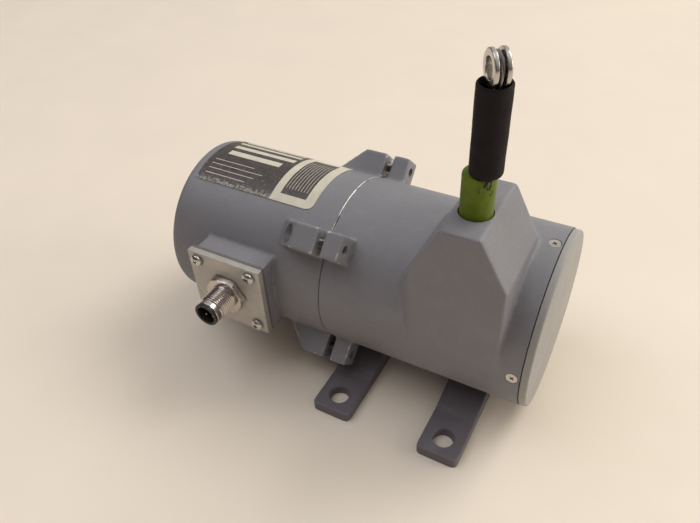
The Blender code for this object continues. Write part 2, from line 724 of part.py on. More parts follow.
def drum():
    """The grooved drum, its shaft, and the cable wound on it."""
    start, end = CABLE_X - 8 * MM, CABLE_X + 8 * MM
    flange, core, hub = 26 * MM, PITCH_R - CABLE_R - 0.4 * MM, 9 * MM
    web = 2 * MM
    bore = SHAFT_R + FIT
    profile = [
        (bore, start), (hub, start), (hub, CABLE_X - web), (18 * MM, CABLE_X - web),
        (18 * MM, start), (flange, start), (flange, start + 1.6 * MM),
        (core, start + 1.6 * MM), (core, end - 1.6 * MM), (flange, end - 1.6 * MM),
        (flange, end), (18 * MM, end), (18 * MM, CABLE_X + web), (hub, CABLE_X + web),
        (hub, end), (bore, end),
    ]
    turned("cable_drum", ALUMINIUM, profile, steps=32, frame=DRUM_FRAME)
    per_turn, turns, pitch = 20, 3, 1.6 * MM
    winding = []
    for i in range(per_turn * turns + 1):
        a = 2 * pi * i / per_turn
        x = CABLE_X + pitch * i / per_turn
        winding.append((x, -PITCH_R * cos(a), -PITCH_R * sin(a)))
    tube("cable_winding", STEEL, winding, CABLE_R, DRUM_FRAME, sides=1)
    turned(
        "main_shaft", STEEL,
        [
            (0, -10 * MM), (SHAFT_R - 0.4 * MM, -10 * MM), (SHAFT_R, -9.6 * MM),
            (SHAFT_R, 75.6 * MM), (SHAFT_R - 0.4 * MM, 76 * MM), (0, 76 * MM),
        ],
        steps=32, frame=DRUM_FRAME,
    )


def encoder():
    """Coupling, encoder shaft, code disc, and what reads it."""
    coupling = [
        (SHAFT_R + FIT, -10.6 * MM), (SHAFT_R + FIT, -2.5 * MM), (8 * MM, -2.5 * MM),
        (8 * MM, -7.8 * MM), (6.4 * MM, -7.8 * MM), (6.4 * MM, -9.2 * MM), (8 * MM, -9.2 * MM),
        (8 * MM, -12.6 * MM), (6.4 * MM, -12.6 * MM), (6.4 * MM, -14 * MM), (8 * MM, -14 * MM),
        (8 * MM, -19.5 * MM), (ENCODER_SHAFT_R + FIT, -19.5 * MM),
        (ENCODER_SHAFT_R + FIT, -10.6 * MM),
    ]
    turned("shaft_coupling", ALUMINIUM, coupling, steps=24, frame=DRUM_FRAME)
    face = -22 * MM
    base = [
        (5 * MM, face), (24.4 * MM, face), (24.4 * MM, WEB_REAR_X - GAP),
        (26.6 * MM, WEB_REAR_X - GAP), (26.6 * MM, -25 * MM), (8 * MM, -25 * MM),
        (8 * MM, -28.4 * MM), (5 * MM, -28.4 * MM),
    ]
    turned("encoder_base", ALUMINIUM, base, steps=32)
    ring("encoder_bush", BRONZE, ENCODER_SHAFT_R + FIT, 5 * MM - FIT, -28.4 * MM, face, steps=24)
    shaft = [
        (0, -35.4 * MM), (ENCODER_SHAFT_R, -35.4 * MM), (ENCODER_SHAFT_R, -32 * MM),
        (7 * MM, -32 * MM), (7 * MM, -30.4 * MM), (ENCODER_SHAFT_R, -30.4 * MM),
        (ENCODER_SHAFT_R, -11.4 * MM), (0, -11.4 * MM),
    ]
    turned("encoder_shaft", STEEL, shaft, steps=24, frame=DRUM_FRAME)
    ring("code_disc", GLASS, ENCODER_SHAFT_R + FIT, 19 * MM, -33.2 * MM, -32.3 * MM,
         frame=DRUM_FRAME, steps=32)
    cover_r, wall = 27 * MM, 1.5 * MM
    cover = [
        (1.8 * MM, -42.3 * MM), (cover_r, -42.3 * MM), (cover_r, -25.3 * MM),
        (cover_r - wall, -25.3 * MM), (cover_r - wall, -40.8 * MM), (1.8 * MM, -40.8 * MM),
    ]
    turned("encoder_cover", ALUMINIUM, cover, steps=32)
    ring("encoder_board", BOARD, 4.5 * MM, 25.1 * MM, -39 * MM, -37.4 * MM, steps=32)
    head = [
        (-37.1 * MM, 11.5 * MM), (-37.1 * MM, 21.5 * MM), (-28.6 * MM, 21.5 * MM),
        (-28.6 * MM, 11.5 * MM), (-31.4 * MM, 11.5 * MM), (-31.4 * MM, 19.8 * MM),
        (-34.2 * MM, 19.8 * MM), (-34.2 * MM, 11.5 * MM),
    ]
    upright = Matrix.Rotation(radians(90), 4, "X")
    extruded("read_head", BLACK_PLASTIC, head, 10 * MM, upright)


def cable_end():
    """What the user pulls: the cable, its crimped loop on an eyelet, and the black sleeve."""
    y = -PITCH_R
    ferrule_low, ferrule_high = 77.3 * MM, 90 * MM
    run = [(CABLE_X, y, 0.5 * MM), (CABLE_X, y, 20 * MM), (CABLE_X, y, 44 * MM)]
    steps = 6
    for i in range(1, steps + 1):
        t = i / steps
        bend = t * t * (3 - 2 * t)
        run.append((CABLE_X + (END_X - CABLE_X) * bend, y, 44 * MM + (33 * MM) * t))
    tube("measuring_cable", STEEL, run, CABLE_R, CABLE_FRAME, sides=1)
    rod("crimp_ferrule", STEEL, 2.2 * MM, (END_X, y, ferrule_low), (END_X, y, ferrule_high), 12,
        CABLE_FRAME)
    upright = Matrix.Identity(4)
    top = 104 * MM
    turned(
        "end_sleeve", BLACK_RUBBER,
        [
            (2.6 * MM, STOP_TOP + GAP), (5.3 * MM, STOP_TOP + GAP),
            (5.65 * MM, STOP_TOP + 0.7 * MM), (5.65 * MM, top), (4.6 * MM, top),
            (4.6 * MM, 92 * MM), (2.6 * MM, 91 * MM),
        ],
        (END_X, y, 0), upright, 32, CABLE_FRAME,
    )
    centre = Vector((END_X + 0.2 * MM, y, 108.4 * MM))
    along = Vector((0.8, 0.6, 0))
    across = Vector((-0.6, 0.8, 0))
    facing = Matrix((
        (across.x, 0, along.x, 0), (across.y, 0, along.y, 0), (0, 1, 0, 0), (0, 0, 0, 1),
    ))
    half, flange, groove = 2.6 * MM, 5.6 * MM, 3.8 * MM
    turned(
        "eyelet", STEEL,
        [
            (3.25 * MM, -half), (flange - 0.4 * MM, -half), (flange, -half + 0.4 * MM),
            (flange, -1.2 * MM), (groove, -1.0 * MM), (groove, 1.0 * MM), (flange, 1.2 * MM),
            (flange, half - 0.4 * MM), (flange - 0.4 * MM, half), (3.25 * MM, half),
        ],
        centre, facing, 24, CABLE_FRAME,
    )
    loop_r, tail = groove + CABLE_R + 0.15 * MM, 0.75 * MM
    tail_low = ferrule_high + GAP - centre.z
    knee_z = -11 * MM
    points = [(tail, tail_low), (tail, knee_z)]
    start = radians(-32)
    count = 18
    for i in range(count + 1):
        a = start + (pi - 2 * start) * i / count
        points.append((loop_r * cos(a), loop_r * sin(a)))
    points += [(-tail, knee_z), (-tail, tail_low)]
    path = [centre + across * u + Vector((0, 0, v)) for u, v in points]
    tube("cable_loop", STEEL, path, CABLE_R, CABLE_FRAME, sides=1)


rear_housing()
front_housing()
end_cap()
feet()
housing_screws()
connector()
label()
cable_outlet()
front_bearing_plate()
spring_motor()
drum()
encoder()
cable_end()
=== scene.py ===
"""The looks of the cable-extension rotary encoder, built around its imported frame.

Shapes are in millimetres from one home point: x from the seam between the two housings,
y and z from the shaft's axis. Materials use the same home point, in metres.
"""
from math import cos, hypot, pi, radians, sin, tan

import bmesh
import bpy
from mathutils import Matrix, Vector, noise


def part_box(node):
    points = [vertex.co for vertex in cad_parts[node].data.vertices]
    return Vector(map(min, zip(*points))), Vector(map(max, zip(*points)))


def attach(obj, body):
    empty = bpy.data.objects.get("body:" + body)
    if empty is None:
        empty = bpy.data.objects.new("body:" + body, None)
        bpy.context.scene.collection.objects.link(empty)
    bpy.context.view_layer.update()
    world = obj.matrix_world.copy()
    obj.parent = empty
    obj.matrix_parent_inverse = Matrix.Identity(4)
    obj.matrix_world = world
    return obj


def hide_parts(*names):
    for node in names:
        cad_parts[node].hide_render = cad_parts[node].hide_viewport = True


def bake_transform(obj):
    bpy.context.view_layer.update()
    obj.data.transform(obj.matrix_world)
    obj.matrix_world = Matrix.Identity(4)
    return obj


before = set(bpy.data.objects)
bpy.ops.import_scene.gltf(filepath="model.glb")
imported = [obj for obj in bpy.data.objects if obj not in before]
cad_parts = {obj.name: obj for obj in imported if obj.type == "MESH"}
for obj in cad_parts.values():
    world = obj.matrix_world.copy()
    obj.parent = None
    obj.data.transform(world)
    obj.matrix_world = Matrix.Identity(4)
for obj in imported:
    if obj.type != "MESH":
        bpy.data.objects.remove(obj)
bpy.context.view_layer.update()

MM = 0.001
HALF_GAP = 0.15
SHAFT_LOW, SHAFT_HIGH = (Vector(corner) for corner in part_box("main_shaft"))
HOME = Vector((
    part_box("rear_housing")[1][0] + HALF_GAP * MM,
    (SHAFT_LOW.y + SHAFT_HIGH.y) / 2,
    (SHAFT_LOW.z + SHAFT_HIGH.z) / 2,
))
GROUND = -HOME.z / MM

# View and light, in metres and watts
VIEW_AZIMUTH, VIEW_ELEVATION, VIEW_ROLL = radians(31.05), radians(40.56), radians(-3.53)
VIEW_PLACE = HOME + Vector((109.49, -191.11, 186.29)) * MM
VIEW_LENS = 33.21
LIGHTS = {  # place, size, power, colour
    "key": ((0.86, 1.19, 1.66), 1.08, 18.1, (1.0, 0.97, 0.90)),
    "side": ((1.89, 0.68, 0.76), 0.9, 9.4, (1.0, 0.96, 0.89)),
    "fill": ((-0.90, -0.43, 1.98), 1.8, 14.3, (0.92, 0.94, 1.0)),
}
SKY_LEAN = (0.42, 0.60, 0.68)
SKY_DARK = (0.125, 0.10, 0.105)
SKY_BRIGHT = (1.0, 0.96, 0.92)
SKY_FULL = 0.85
SKY_STRENGTH = 0.66
WALL = (0.78, 0.71, 0.62)
FLOOR = (0.90, 0.80, 0.665)
FLOOR_SIZE = 12.0

# Castings
VOXEL = 0.6
FOOT_VOXEL = 0.5
CAST_ROUNDS = 7
TOWER_ROUNDS = 8
FOOT_ROUNDS = 6
CAST_WEAR_AND_SHADE = 1.75
MACHINED_WEAR = 0.2
ROUND = 160
FAR = 60

# Housings
HOUSING_R = 36.5
REAR_END = -77.0
REAR_INSIDE = -73
REAR_BORE_R = 32.3
CAP_SEAM = 84.2
CAP_FACE = 87.2
BOSS_LEFT, BOSS_RIGHT = -55.9, -21.9
BOSS_FACE = 40.7
BOSS_HALF = 17.2
SOCKET_BORE_R = 12.0

# Lugs
LUG_ANGLES = {"top_back": 45, "top_near": 135, "bottom_near": 225, "bottom_back": 315}
LUG_TOP = 47.0
LUG_ROOT = 30
LUG_WIDTH = 10.8
REAR_LUG_X = (-10.8, -0.4)
FRONT_LUG_X = (2.8, 10.4)
LUG_SCREW_R = 42.0
LUG_HEAD_SEAT = -7
# radius of the painted shade round each lug screw's line
SHADE_POCKET_R = 4.0

# Cable line and tower
CABLE_X = 57.6
CABLE_Y = -22.2
CABLE_R = 0.6
CABLE_LAY = 5.0
STRANDS, STRAND_SIDES = 6, 6
TOWER_TOP = 58.0
TOWER_FACE = -37.0
END_X = 59.5
STOP_TOP = 73.4
EYELET_HEIGHT = 108.4

# Feet
FOOT_X = {"rear_foot": 11.9, "front_foot": 60.3}
FOOT_HOLE_Y = 44.8
FOOT_SCREW_Y = 8

# Connector and cap screws
CONNECTOR_X = -40.0
PLATE_FACE = 44.7
PLATE_SCREW_OUT = 13.25
CONNECTOR_TIP = 60.2
CONTACT_FLOOR = 52.5
CONTACT_RING_R = 2.6
CAP_SCREW_X = 81.1
CAP_SCREWS = {"top": 90, "back": 0, "bottom": 270, "near": 180}

# Code disc
CODE_LINES = 250
CODE_RING_R, CODE_RING_HALF = 16.5, 1.5

# Label
LABEL_START, LABEL_END = 55, 117
LABEL_X = (-72.0, -12.5)
LABEL_R = HOUSING_R + 0.12
LABEL_ARC_R = HOUSING_R + 0.3
LABEL_ARC = radians(LABEL_END - LABEL_START) * LABEL_ARC_R
LABEL_THICK = 0.16
LABEL_CORNER = 3.2

AXIS = Matrix.Rotation(radians(90), 4, "Y")  # a turned piece's Z onto +X
OUTWARD = Matrix.Rotation(radians(90), 4, "X")  # onto -Y
UPRIGHT = Matrix.Identity(4)


# --- nodes ---

class Graph:
    """A node tree under construction, with short calls for its nodes."""

    def __init__(self, tree):
        self.tree = tree

    def put(self, value, socket):
        if isinstance(value, bpy.types.NodeSocket):
            self.tree.links.new(value, socket)
        elif isinstance(value, tuple) and len(value) == 3 and len(socket.default_value) == 4:
            socket.default_value = (*value, 1)
        else:
            socket.default_value = value

    def node(self, kind, inputs, **settings):
        """Adds a node. Each input is a plain value or another node's output."""
        made = self.tree.nodes.new("ShaderNode" + kind)
        for name, value in settings.items():
            setattr(made, name, value)
        for key, value in inputs.items():
            self.put(value, made.inputs[key])
        return made.outputs

    def math(self, operation, *values, clamp=False):
        inputs = dict(enumerate(values))
        return self.node("Math", inputs, operation=operation, use_clamp=clamp)[0]

    def times(self, first, *others):
        for other in others:
            first = self.math("MULTIPLY", first, other)
        return first

    def remap(self, value, low, high, to_low=0.0, to_high=1.0):
        return self.node("MapRange", {0: value, 1: low, 2: high, 3: to_low, 4: to_high})[0]

    def mix(self, factor, a, b):
        return self.node("Mix", {"Factor": factor, 6: a, 7: b}, data_type="RGBA")[2]


# --- camera and light ---

def linked(name, data):
    """A new object in the scene."""
    made = bpy.data.objects.new(name, data)
    bpy.context.scene.collection.objects.link(made)
    return made


def make_camera():
    back = Vector((
        sin(VIEW_AZIMUTH) * cos(VIEW_ELEVATION), -cos(VIEW_AZIMUTH) * cos(VIEW_ELEVATION),
        sin(VIEW_ELEVATION),
    ))
    right = (-back).cross(Vector((0, 0, 1))).normalized()
    up = right.cross(-back)
    level = Matrix((right, up, back)).transposed().to_4x4()
    data = bpy.data.cameras.new("camera")
    data.lens = VIEW_LENS
    data.clip_start = 0.01
    camera = linked("camera", data)
    tilt = Matrix.Rotation(VIEW_ROLL, 4, "Z")
    camera.matrix_world = Matrix.Translation(VIEW_PLACE) @ level @ tilt
    bpy.context.scene.camera = camera


def make_light(name, place, size, power, colour):
    """A soft round light that faces the object."""
    data = bpy.data.lights.new(name, "AREA")
    data.shape = "DISK"
    data.size = size
    data.energy = power
    data.color = colour
    light = linked(name, data)
    light.location = place
    light.rotation_euler = Vector(place).to_track_quat("Z", "Y").to_euler()


def make_world():
    """Light from a soft sky, bright behind and above. The camera sees a plain wall."""
    world = bpy.data.worlds.new("studio")
    world.use_nodes = True
    graph = Graph(world.node_tree)
    sky = graph.tree.nodes["Background"]
    place = graph.node("TexCoord", {})["Generated"]
    bright_side = Vector(SKY_LEAN).normalized()
    lean = graph.node("VectorMath", {0: place, 1: bright_side}, operation="DOT_PRODUCT")
    towards = graph.remap(lean["Value"], 0, SKY_FULL)
    graph.put(graph.mix(towards, SKY_DARK, SKY_BRIGHT), sky.inputs["Color"])
    graph.put(SKY_STRENGTH, sky.inputs["Strength"])
    wall = graph.node("Background", {"Color": WALL})[0]
    seen = graph.node("LightPath", {})["Is Camera Ray"]
    choice = graph.node("MixShader", {"Fac": seen, 1: sky.outputs[0], 2: wall})[0]
    graph.put(choice, graph.tree.nodes["World Output"].inputs["Surface"])
    bpy.context.scene.world = world


make_camera()
for light, values in LIGHTS.items():
    make_light(light, *values)
make_world()
bpy.context.scene.view_settings.view_transform = "Standard"


# --- materials ---

class Finish(Graph):
    """A Principled material under construction."""

    def __init__(self, name, colour, roughness, metallic=0.0):
        self.material = bpy.data.materials.new(name)
        self.material.use_nodes = True
        super().__init__(self.material.node_tree)
        self.shader = self.tree.nodes["Principled BSDF"]
        self.shader.inputs["Base Color"].default_value = (*colour, 1)
        self.shader.inputs["Roughness"].default_value = roughness
        self.shader.inputs["Metallic"].default_value = metallic
        self.coordinates = self.tree.nodes.new("ShaderNodeTexCoord").outputs["Object"]

    def noise(self, millimetres, detail, stretch=None):
        """Noise whose features are about that many millimetres across."""
        place = self.coordinates
        if stretch:
            place = self.node("Mapping", {"Vector": place, "Scale": stretch})["Vector"]
        size = 1 / (millimetres * MM)
        return self.node("TexNoise", {"Scale": size, "Detail": detail, "Vector": place})["Fac"]

    def axes(self, source=None):
        """The separate numbers of a vector: of the object's own coordinates, by default."""
        return self.node("SeparateXYZ", {0: source or self.coordinates})

    def attribute(self, name):
        return self.node("Attribute", {}, attribute_name=name)["Fac"]

    def patches(self, millimetres, detail, low, high, to_low=0.0, to_high=1.0):
        """Noise cut off below low and above high."""
        return self.remap(self.noise(millimetres, detail), low, high, to_low, to_high)

    def shade(self, colour, value, amount):
        """The colour made lighter and darker by a value around 0.5."""
        bright = self.remap(value, 0.25, 0.75, 1 - amount, 1 + amount)
        return self.node("VectorMath", {0: colour, "Scale": bright}, operation="SCALE")[0]

    def bump(self, height, millimetres, strength=0.5):
        """Adds relief of that depth, on top of what is there."""
        inputs = {"Distance": millimetres * MM, "Strength": strength, "Height": height}
        before = self.shader.inputs["Normal"].links
        if before:
            inputs["Normal"] = before[0].from_socket
        self.put(self.node("Bump", inputs)["Normal"], self.shader.inputs["Normal"])

    def colour(self, value):
        self.put(value, self.shader.inputs["Base Color"])

    def rough(self, value, low, high):
        self.put(self.remap(value, 0.3, 0.7, low, high), self.shader.inputs["Roughness"])

    def metal(self, value):
        self.put(value, self.shader.inputs["Metallic"])


def tinted(colour, factor):
    return tuple(value * factor for value in colour)


def powder_coat(name, colour, chipped=False):
    """Sprayed and baked paint over a casting: fine orange peel, dust, edges rubbed thin, painted
    shade in its creases.

    Chipped paint also shows bare metal on its sharpest edges and along the seam's top.
    """
    finish = Finish(name, colour, 0.5)
    broad = finish.noise(22, 2)
    fine = finish.noise(0.9, 4)
    base = finish.shade(colour, broad, 0.06)
    base = finish.shade(base, fine, 0.05)
    dust = finish.patches(7, 6, 0.55, 0.75, 0, 0.16)
    base = finish.mix(dust, base, (0.36, 0.34, 0.31))
    # Painted shade: the paint goes darker in creases and in the lug screws' pockets.
    painted_shade = finish.remap(finish.attribute("crease"), 0.10, 0.80, 0, 0.55)
    base = finish.mix(painted_shade, base, tinted(colour, 0.25))
    edge = finish.attribute("edge")
    ragged = finish.math("ADD", edge, finish.patches(2.2, 5, 0.3, 0.7, -0.5, 0.22))
    rubbed = finish.remap(ragged, 0.46, 0.85, 0, 0.26)
    base = finish.mix(rubbed, base, tinted(colour, 1.55))
    if chipped:
        spots = finish.patches(5.5, 3, 0.3, 0.75, -1.0, 0.20)
        chip = finish.remap(finish.math("ADD", edge, spots), 0.62, 0.68)
        base = finish.mix(chip, base, (0.62, 0.60, 0.57))
        along, _, height = finish.axes()
        at_seam = finish.math("COMPARE", along, 0.0, 0.50 * MM)
        upper = finish.remap(height, 26 * MM, 30 * MM)
        bare = finish.times(at_seam, upper, finish.patches(6, 4, 0.36, 0.50))
        base = finish.mix(bare, base, (0.60, 0.59, 0.58))
        finish.metal(finish.math("MAXIMUM", chip, bare))
    finish.colour(base)
    finish.rough(finish.noise(1.4, 5), 0.44, 0.60)
    finish.bump(finish.noise(0.55, 2), 0.05)
    finish.bump(finish.noise(3.5, 2), 0.05)
    return finish.material


def bright_metal(name, colour, roughness, grain=0.35, stretch=(1, 1, 1), relief=0.010):
    """Machined or plated metal: directional grain under soft smears."""
    finish = Finish(name, colour, roughness, 1.0)
    lines = finish.noise(grain, 4, stretch)
    smear = finish.noise(3.0, 5)
    base = finish.shade(colour, smear, 0.10)
    finish.colour(finish.shade(base, lines, 0.08))
    finish.rough(smear, roughness * 0.75, roughness * 1.35)
    finish.bump(lines, relief, 0.6)
    return finish.material


def turned_metal(name, colour, roughness):
    """Metal straight from the lathe, with rings around the shaft's direction."""
    return bright_metal(name, colour, roughness, 0.5, (2.5, 0.12, 0.12))


def rubber(name, colour, roughness, mottle=0.12, scuffed=False):
    """Matt rubber with a pale bloom. The green sleeve is scuffed on its near side."""
    finish = Finish(name, colour, roughness)
    cloud = finish.noise(3.2, 4)
    grit = finish.noise(0.4, 4)
    base = finish.shade(colour, cloud, mottle)
    bloom = finish.patches(1.6, 6, 0.58, 0.78, 0, 0.22)
    base = finish.mix(bloom, base, tuple(value * 1.5 + 0.004 for value in colour))
    if scuffed:
        x, y, z = finish.axes()
        near = finish.math("LESS_THAN", y, (CABLE_Y - 1.5) * MM)
        high = finish.remap(z, 65 * MM, 69 * MM)
        right = finish.remap(x, (CABLE_X + 0.5) * MM, (CABLE_X + 3.5) * MM)
        marks = finish.remap(finish.noise(1.3, 4, (1, 1, 0.8)), 0.54, 0.60)
        base = finish.mix(finish.times(near, high, right, marks), base, (0.012, 0.016, 0.006))
    finish.colour(base)
    finish.shader.inputs["Specular IOR Level"].default_value = 0.26
    finish.rough(cloud, roughness - 0.08, roughness + 0.08)
    finish.bump(grit, 0.05)
    return finish.material


def plastic(name, colour, roughness):
    """Moulded plastic with a fine matt texture."""
    finish = Finish(name, colour, roughness)
    finish.colour(finish.shade(colour, finish.noise(2.5, 3), 0.1))
    finish.rough(finish.noise(1.2, 4), roughness - 0.08, roughness + 0.08)
    finish.bump(finish.noise(0.3, 3), 0.02)
    return finish.material


GREY = powder_coat("powder_coat_grey", (0.232, 0.228, 0.246), chipped=True)
# Painted shade: the feet's grey is a darker copy of the housing's, for the feet lying under the
# barrel.
FOOT_GREY_SHADED = powder_coat("powder_coat_foot_shaded", (0.140, 0.124, 0.136))
CAP_GREY = powder_coat("cap_paint", (0.36, 0.35, 0.33))
STEEL = bright_metal("stainless_steel", (0.58, 0.55, 0.52), 0.24, relief=0.004)
# Painted shade: the lug screws' steel is made dark for the deep gaps they sit in.
SHADED_LUG_STEEL = bright_metal("lug_steel_painted_dark", (0.22, 0.20, 0.19), 0.36)
TURNED = turned_metal("turned_steel", (0.60, 0.59, 0.57), 0.28)
NICKEL = bright_metal("nickel_plate", (0.60, 0.545, 0.505), 0.20, 0.6, relief=0.003)
CABLE_STEEL = bright_metal("cable_wire", (0.34, 0.32, 0.31), 0.34, 0.2)
ALUMINIUM = turned_metal("turned_aluminium", (0.70, 0.70, 0.69), 0.36)
BRONZE = turned_metal("bronze", (0.55, 0.38, 0.19), 0.34)
GOLD = bright_metal("gold_plate", (0.80, 0.66, 0.42), 0.22, 0.3)
BLACK_PLASTIC = plastic("black_plastic", (0.016, 0.015, 0.016), 0.42)
BLACK_RUBBER = rubber("black_heat_shrink", (0.0095, 0.0060, 0.0078), 0.72)
GREEN_RUBBER = rubber("green_rubber", (0.125, 0.175, 0.006), 0.50, 0.20, scuffed=True)
SEAL_RUBBER = rubber("seal_rubber", (0.02, 0.02, 0.02), 0.6)
GASKET = rubber("gasket_rubber", (0.17, 0.165, 0.16), 0.6)
WIRE = plastic("wire_jacket", (0.03, 0.03, 0.035), 0.5)


def plate_material():
    """Milled aluminium dulled to a warm grey, with long fine cutter lines."""
    colour = (0.50, 0.475, 0.43)
    finish = Finish("milled_plate", colour, 0.42, 0.35)
    lines = finish.noise(0.4, 4, (0.08, 1, 2.4))
    cloud = finish.noise(9, 4)
    stain = finish.patches(4.0, 5, 0.52, 0.74, 0, 0.35)
    base = finish.shade(finish.shade(colour, lines, 0.05), cloud, 0.07)
    base = finish.mix(stain, base, (0.33, 0.31, 0.24))
    worn = finish.remap(finish.attribute("edge"), 0.3, 0.9, 0, 0.6)
    finish.colour(finish.mix(worn, base, (0.66, 0.62, 0.56)))
    finish.rough(finish.noise(1.8, 5), 0.36, 0.52)
    finish.bump(lines, 0.012, 0.6)
    return finish.material


PLATE = plate_material()


def board_material():
    """Green solder resist over copper tracks."""
    finish = Finish("circuit_board", (0.02, 0.16, 0.07), 0.4)
    tracks = finish.math("PINGPONG", finish.axes()[1], 0.0011)
    line = finish.remap(tracks, 0.00075, 0.00085)
    finish.colour(finish.mix(line, (0.02, 0.14, 0.06), (0.03, 0.24, 0.10)))
    finish.rough(finish.noise(2, 3), 0.32, 0.45)
    finish.bump(line, 0.03, 0.6)
    return finish.material


def glass_material():
    """The code disc: clear, with a ring of fine dark lines.

    This node's own coordinates start at the part's origin, so the home point comes off them.
    """
    finish = Finish("code_disc_glass", (0.72, 0.80, 0.82), 0.08)
    _, y, z = finish.axes()
    across = finish.math("SUBTRACT", y, HOME.y)
    above = finish.math("SUBTRACT", z, HOME.z)
    angle = finish.math("ARCTAN2", across, above)
    squares = finish.math("ADD", finish.times(across, across), finish.times(above, above))
    radius = finish.math("SQRT", squares)
    pitch = pi / CODE_LINES
    stripe = finish.math("GREATER_THAN", finish.math("PINGPONG", angle, pitch), pitch / 2)
    ring = finish.math("COMPARE", radius, CODE_RING_R * MM, CODE_RING_HALF * MM)
    finish.colour(finish.mix(finish.times(stripe, ring), (0.72, 0.80, 0.82), (0.04, 0.04, 0.04)))
    finish.rough(finish.noise(4, 3), 0.05, 0.14)
    return finish.material


# --- shapes ---

def around(angle, x, radius):
    """A point at a radius and angle about the shaft: 0 degrees at +Y, 90 at +Z."""
    return Vector((x, radius * cos(radians(angle)), radius * sin(radians(angle))))


def rounded(points, steps=4):
    """A closed outline of (u, v, radius) corners, with each corner rounded to its radius."""
    outline = []
    count = len(points)
    for i, (u, v, radius) in enumerate(points):
        corner = Vector((u, v))
        before = Vector(points[i - 1][:2]) - corner
        after = Vector(points[(i + 1) % count][:2]) - corner
        if radius <= 0 or before.length < 1e-9 or after.length < 1e-9:
            outline.append((u, v))
            continue
        half = before.angle(after) / 2
        reach = min(radius / tan(half), before.length * 0.49, after.length * 0.49)
        start = corner + before.normalized() * reach
        end = corner + after.normalized() * reach
        for k in range(steps + 1):
            t = k / steps
            outline.append(tuple(
                start * (1 - t) ** 2 + corner * 2 * t * (1 - t) + end * t ** 2
            ))
    return outline


def turned(profile, steps, place=(0, 0, 0), facing=AXIS, push=None):
    """A closed (radius, height) profile turned about its own Z. push moves single points."""
    bm = bmesh.new()
    rings = []
    for r, h in profile:
        ring = []
        for i in range(steps if r > 1e-6 else 1):
            a = 2 * pi * i / steps
            radius = r if push is None or r <= 1e-6 else push(r, h, a)
            ring.append(bm.verts.new((radius * cos(a), radius * sin(a), h)))
        rings.append(ring)
    for low, high in zip(rings, rings[1:] + rings[:1]):
        if len(low) == 1 and len(high) == 1:
            continue
        for i in range(steps):
            j = (i + 1) % steps
            if len(low) == 1:
                bm.faces.new((low[0], high[j], high[i]))
            elif len(high) == 1:
                bm.faces.new((low[i], low[j], high[0]))
            else:
                bm.faces.new((low[i], low[j], high[j], high[i]))
    return placed(bm, Matrix.Translation(place) @ facing)


def outward(bm):
    bmesh.ops.recalc_face_normals(bm, faces=bm.faces[:])
    return bm


def placed(bm, matrix):
    bmesh.ops.transform(bm, matrix=matrix, verts=bm.verts[:])
    return outward(bm)


def prism(outline, low, high, matrix=UPRIGHT, bevel=0.0, segments=2):
    """An outline of (u, v) points between two heights, with its edges eased."""
    bm = bmesh.new()
    bottom = [bm.verts.new((u, v, low)) for u, v in outline]
    top = [bm.verts.new((u, v, high)) for u, v in outline]
    bm.faces.new(bottom)
    bm.faces.new(top)
    count = len(outline)
    for i in range(count):
        j = (i + 1) % count
        bm.faces.new((bottom[i], bottom[j], top[j], top[i]))
    outward(bm)
    if bevel:
        edges = [e for e in bm.edges if e.calc_face_angle(0) > radians(25)]
        bmesh.ops.bevel(
            bm, geom=edges, offset=bevel, segments=segments, affect="EDGES",
            clamp_overlap=True, profile=0.5,
        )
    return placed(bm, matrix)


def block(low, high, bevel=0.0, segments=2):
    outline = [(low[0], low[1]), (high[0], low[1]), (high[0], high[1]), (low[0], high[1])]
    return prism(outline, low[2], high[2], UPRIGHT, bevel, segments)


def bar(start, end, radius, steps, end_radius=None):
    """A round bar between two points, or a cone."""
    start, end = Vector(start), Vector(end)
    length = (end - start).length
    turn = (end - start).to_track_quat("Z", "Y").to_matrix().to_4x4()
    tip = radius if end_radius is None else end_radius
    profile = [(0, 0), (radius, 0), (tip, length), (0, length)]
    return turned(profile, steps, start, turn)


def hexagon(across_flats):
    corner = across_flats / 2 / cos(pi / 6)
    return [(corner * cos(pi * i / 3), corner * sin(pi * i / 3)) for i in range(6)]


def half_space(bm, point, normal):
    """Keeps what lies behind a plane, and closes the cut."""
    geometry = bm.verts[:] + bm.edges[:] + bm.faces[:]
    done = bmesh.ops.bisect_plane(
        bm, geom=geometry, plane_co=point, plane_no=normal, clear_outer=True,
    )
    edges = [item for item in done["geom_cut"] if isinstance(item, bmesh.types.BMEdge)]
    bmesh.ops.holes_fill(bm, edges=edges)
    return outward(bm)


def thread(pitch, depth, low, high):
    """A push for turned(): a helical thread between two heights, fading at its ends."""
    def push(r, h, a):
        if h < low or h > high:
            return r
        phase = (h / pitch - a / (2 * pi)) % 1.0
        fade = min(1.0, (h - low) / (pitch * 0.6), (high - h) / (pitch * 0.6))
        return r - depth * fade * (0.5 - 0.5 * cos(2 * pi * phase))
    return push


def fine(low, high, step):
    """Heights from low to high, about a step apart."""
    count = max(1, round((high - low) / step))
    return [low + (high - low) * i / count for i in range(count + 1)]


def bend_frames(path):
    """Places, and a steady pair of directions across the path at each."""
    frames = []
    side = None
    for i, place in enumerate(path):
        ahead = (path[min(i + 1, len(path) - 1)] - path[max(i - 1, 0)]).normalized()
        if side is None:
            side = ahead.orthogonal().normalized()
        side = (side - ahead * side.dot(ahead)).normalized()
        frames.append((place, side, ahead.cross(side)))
    return frames


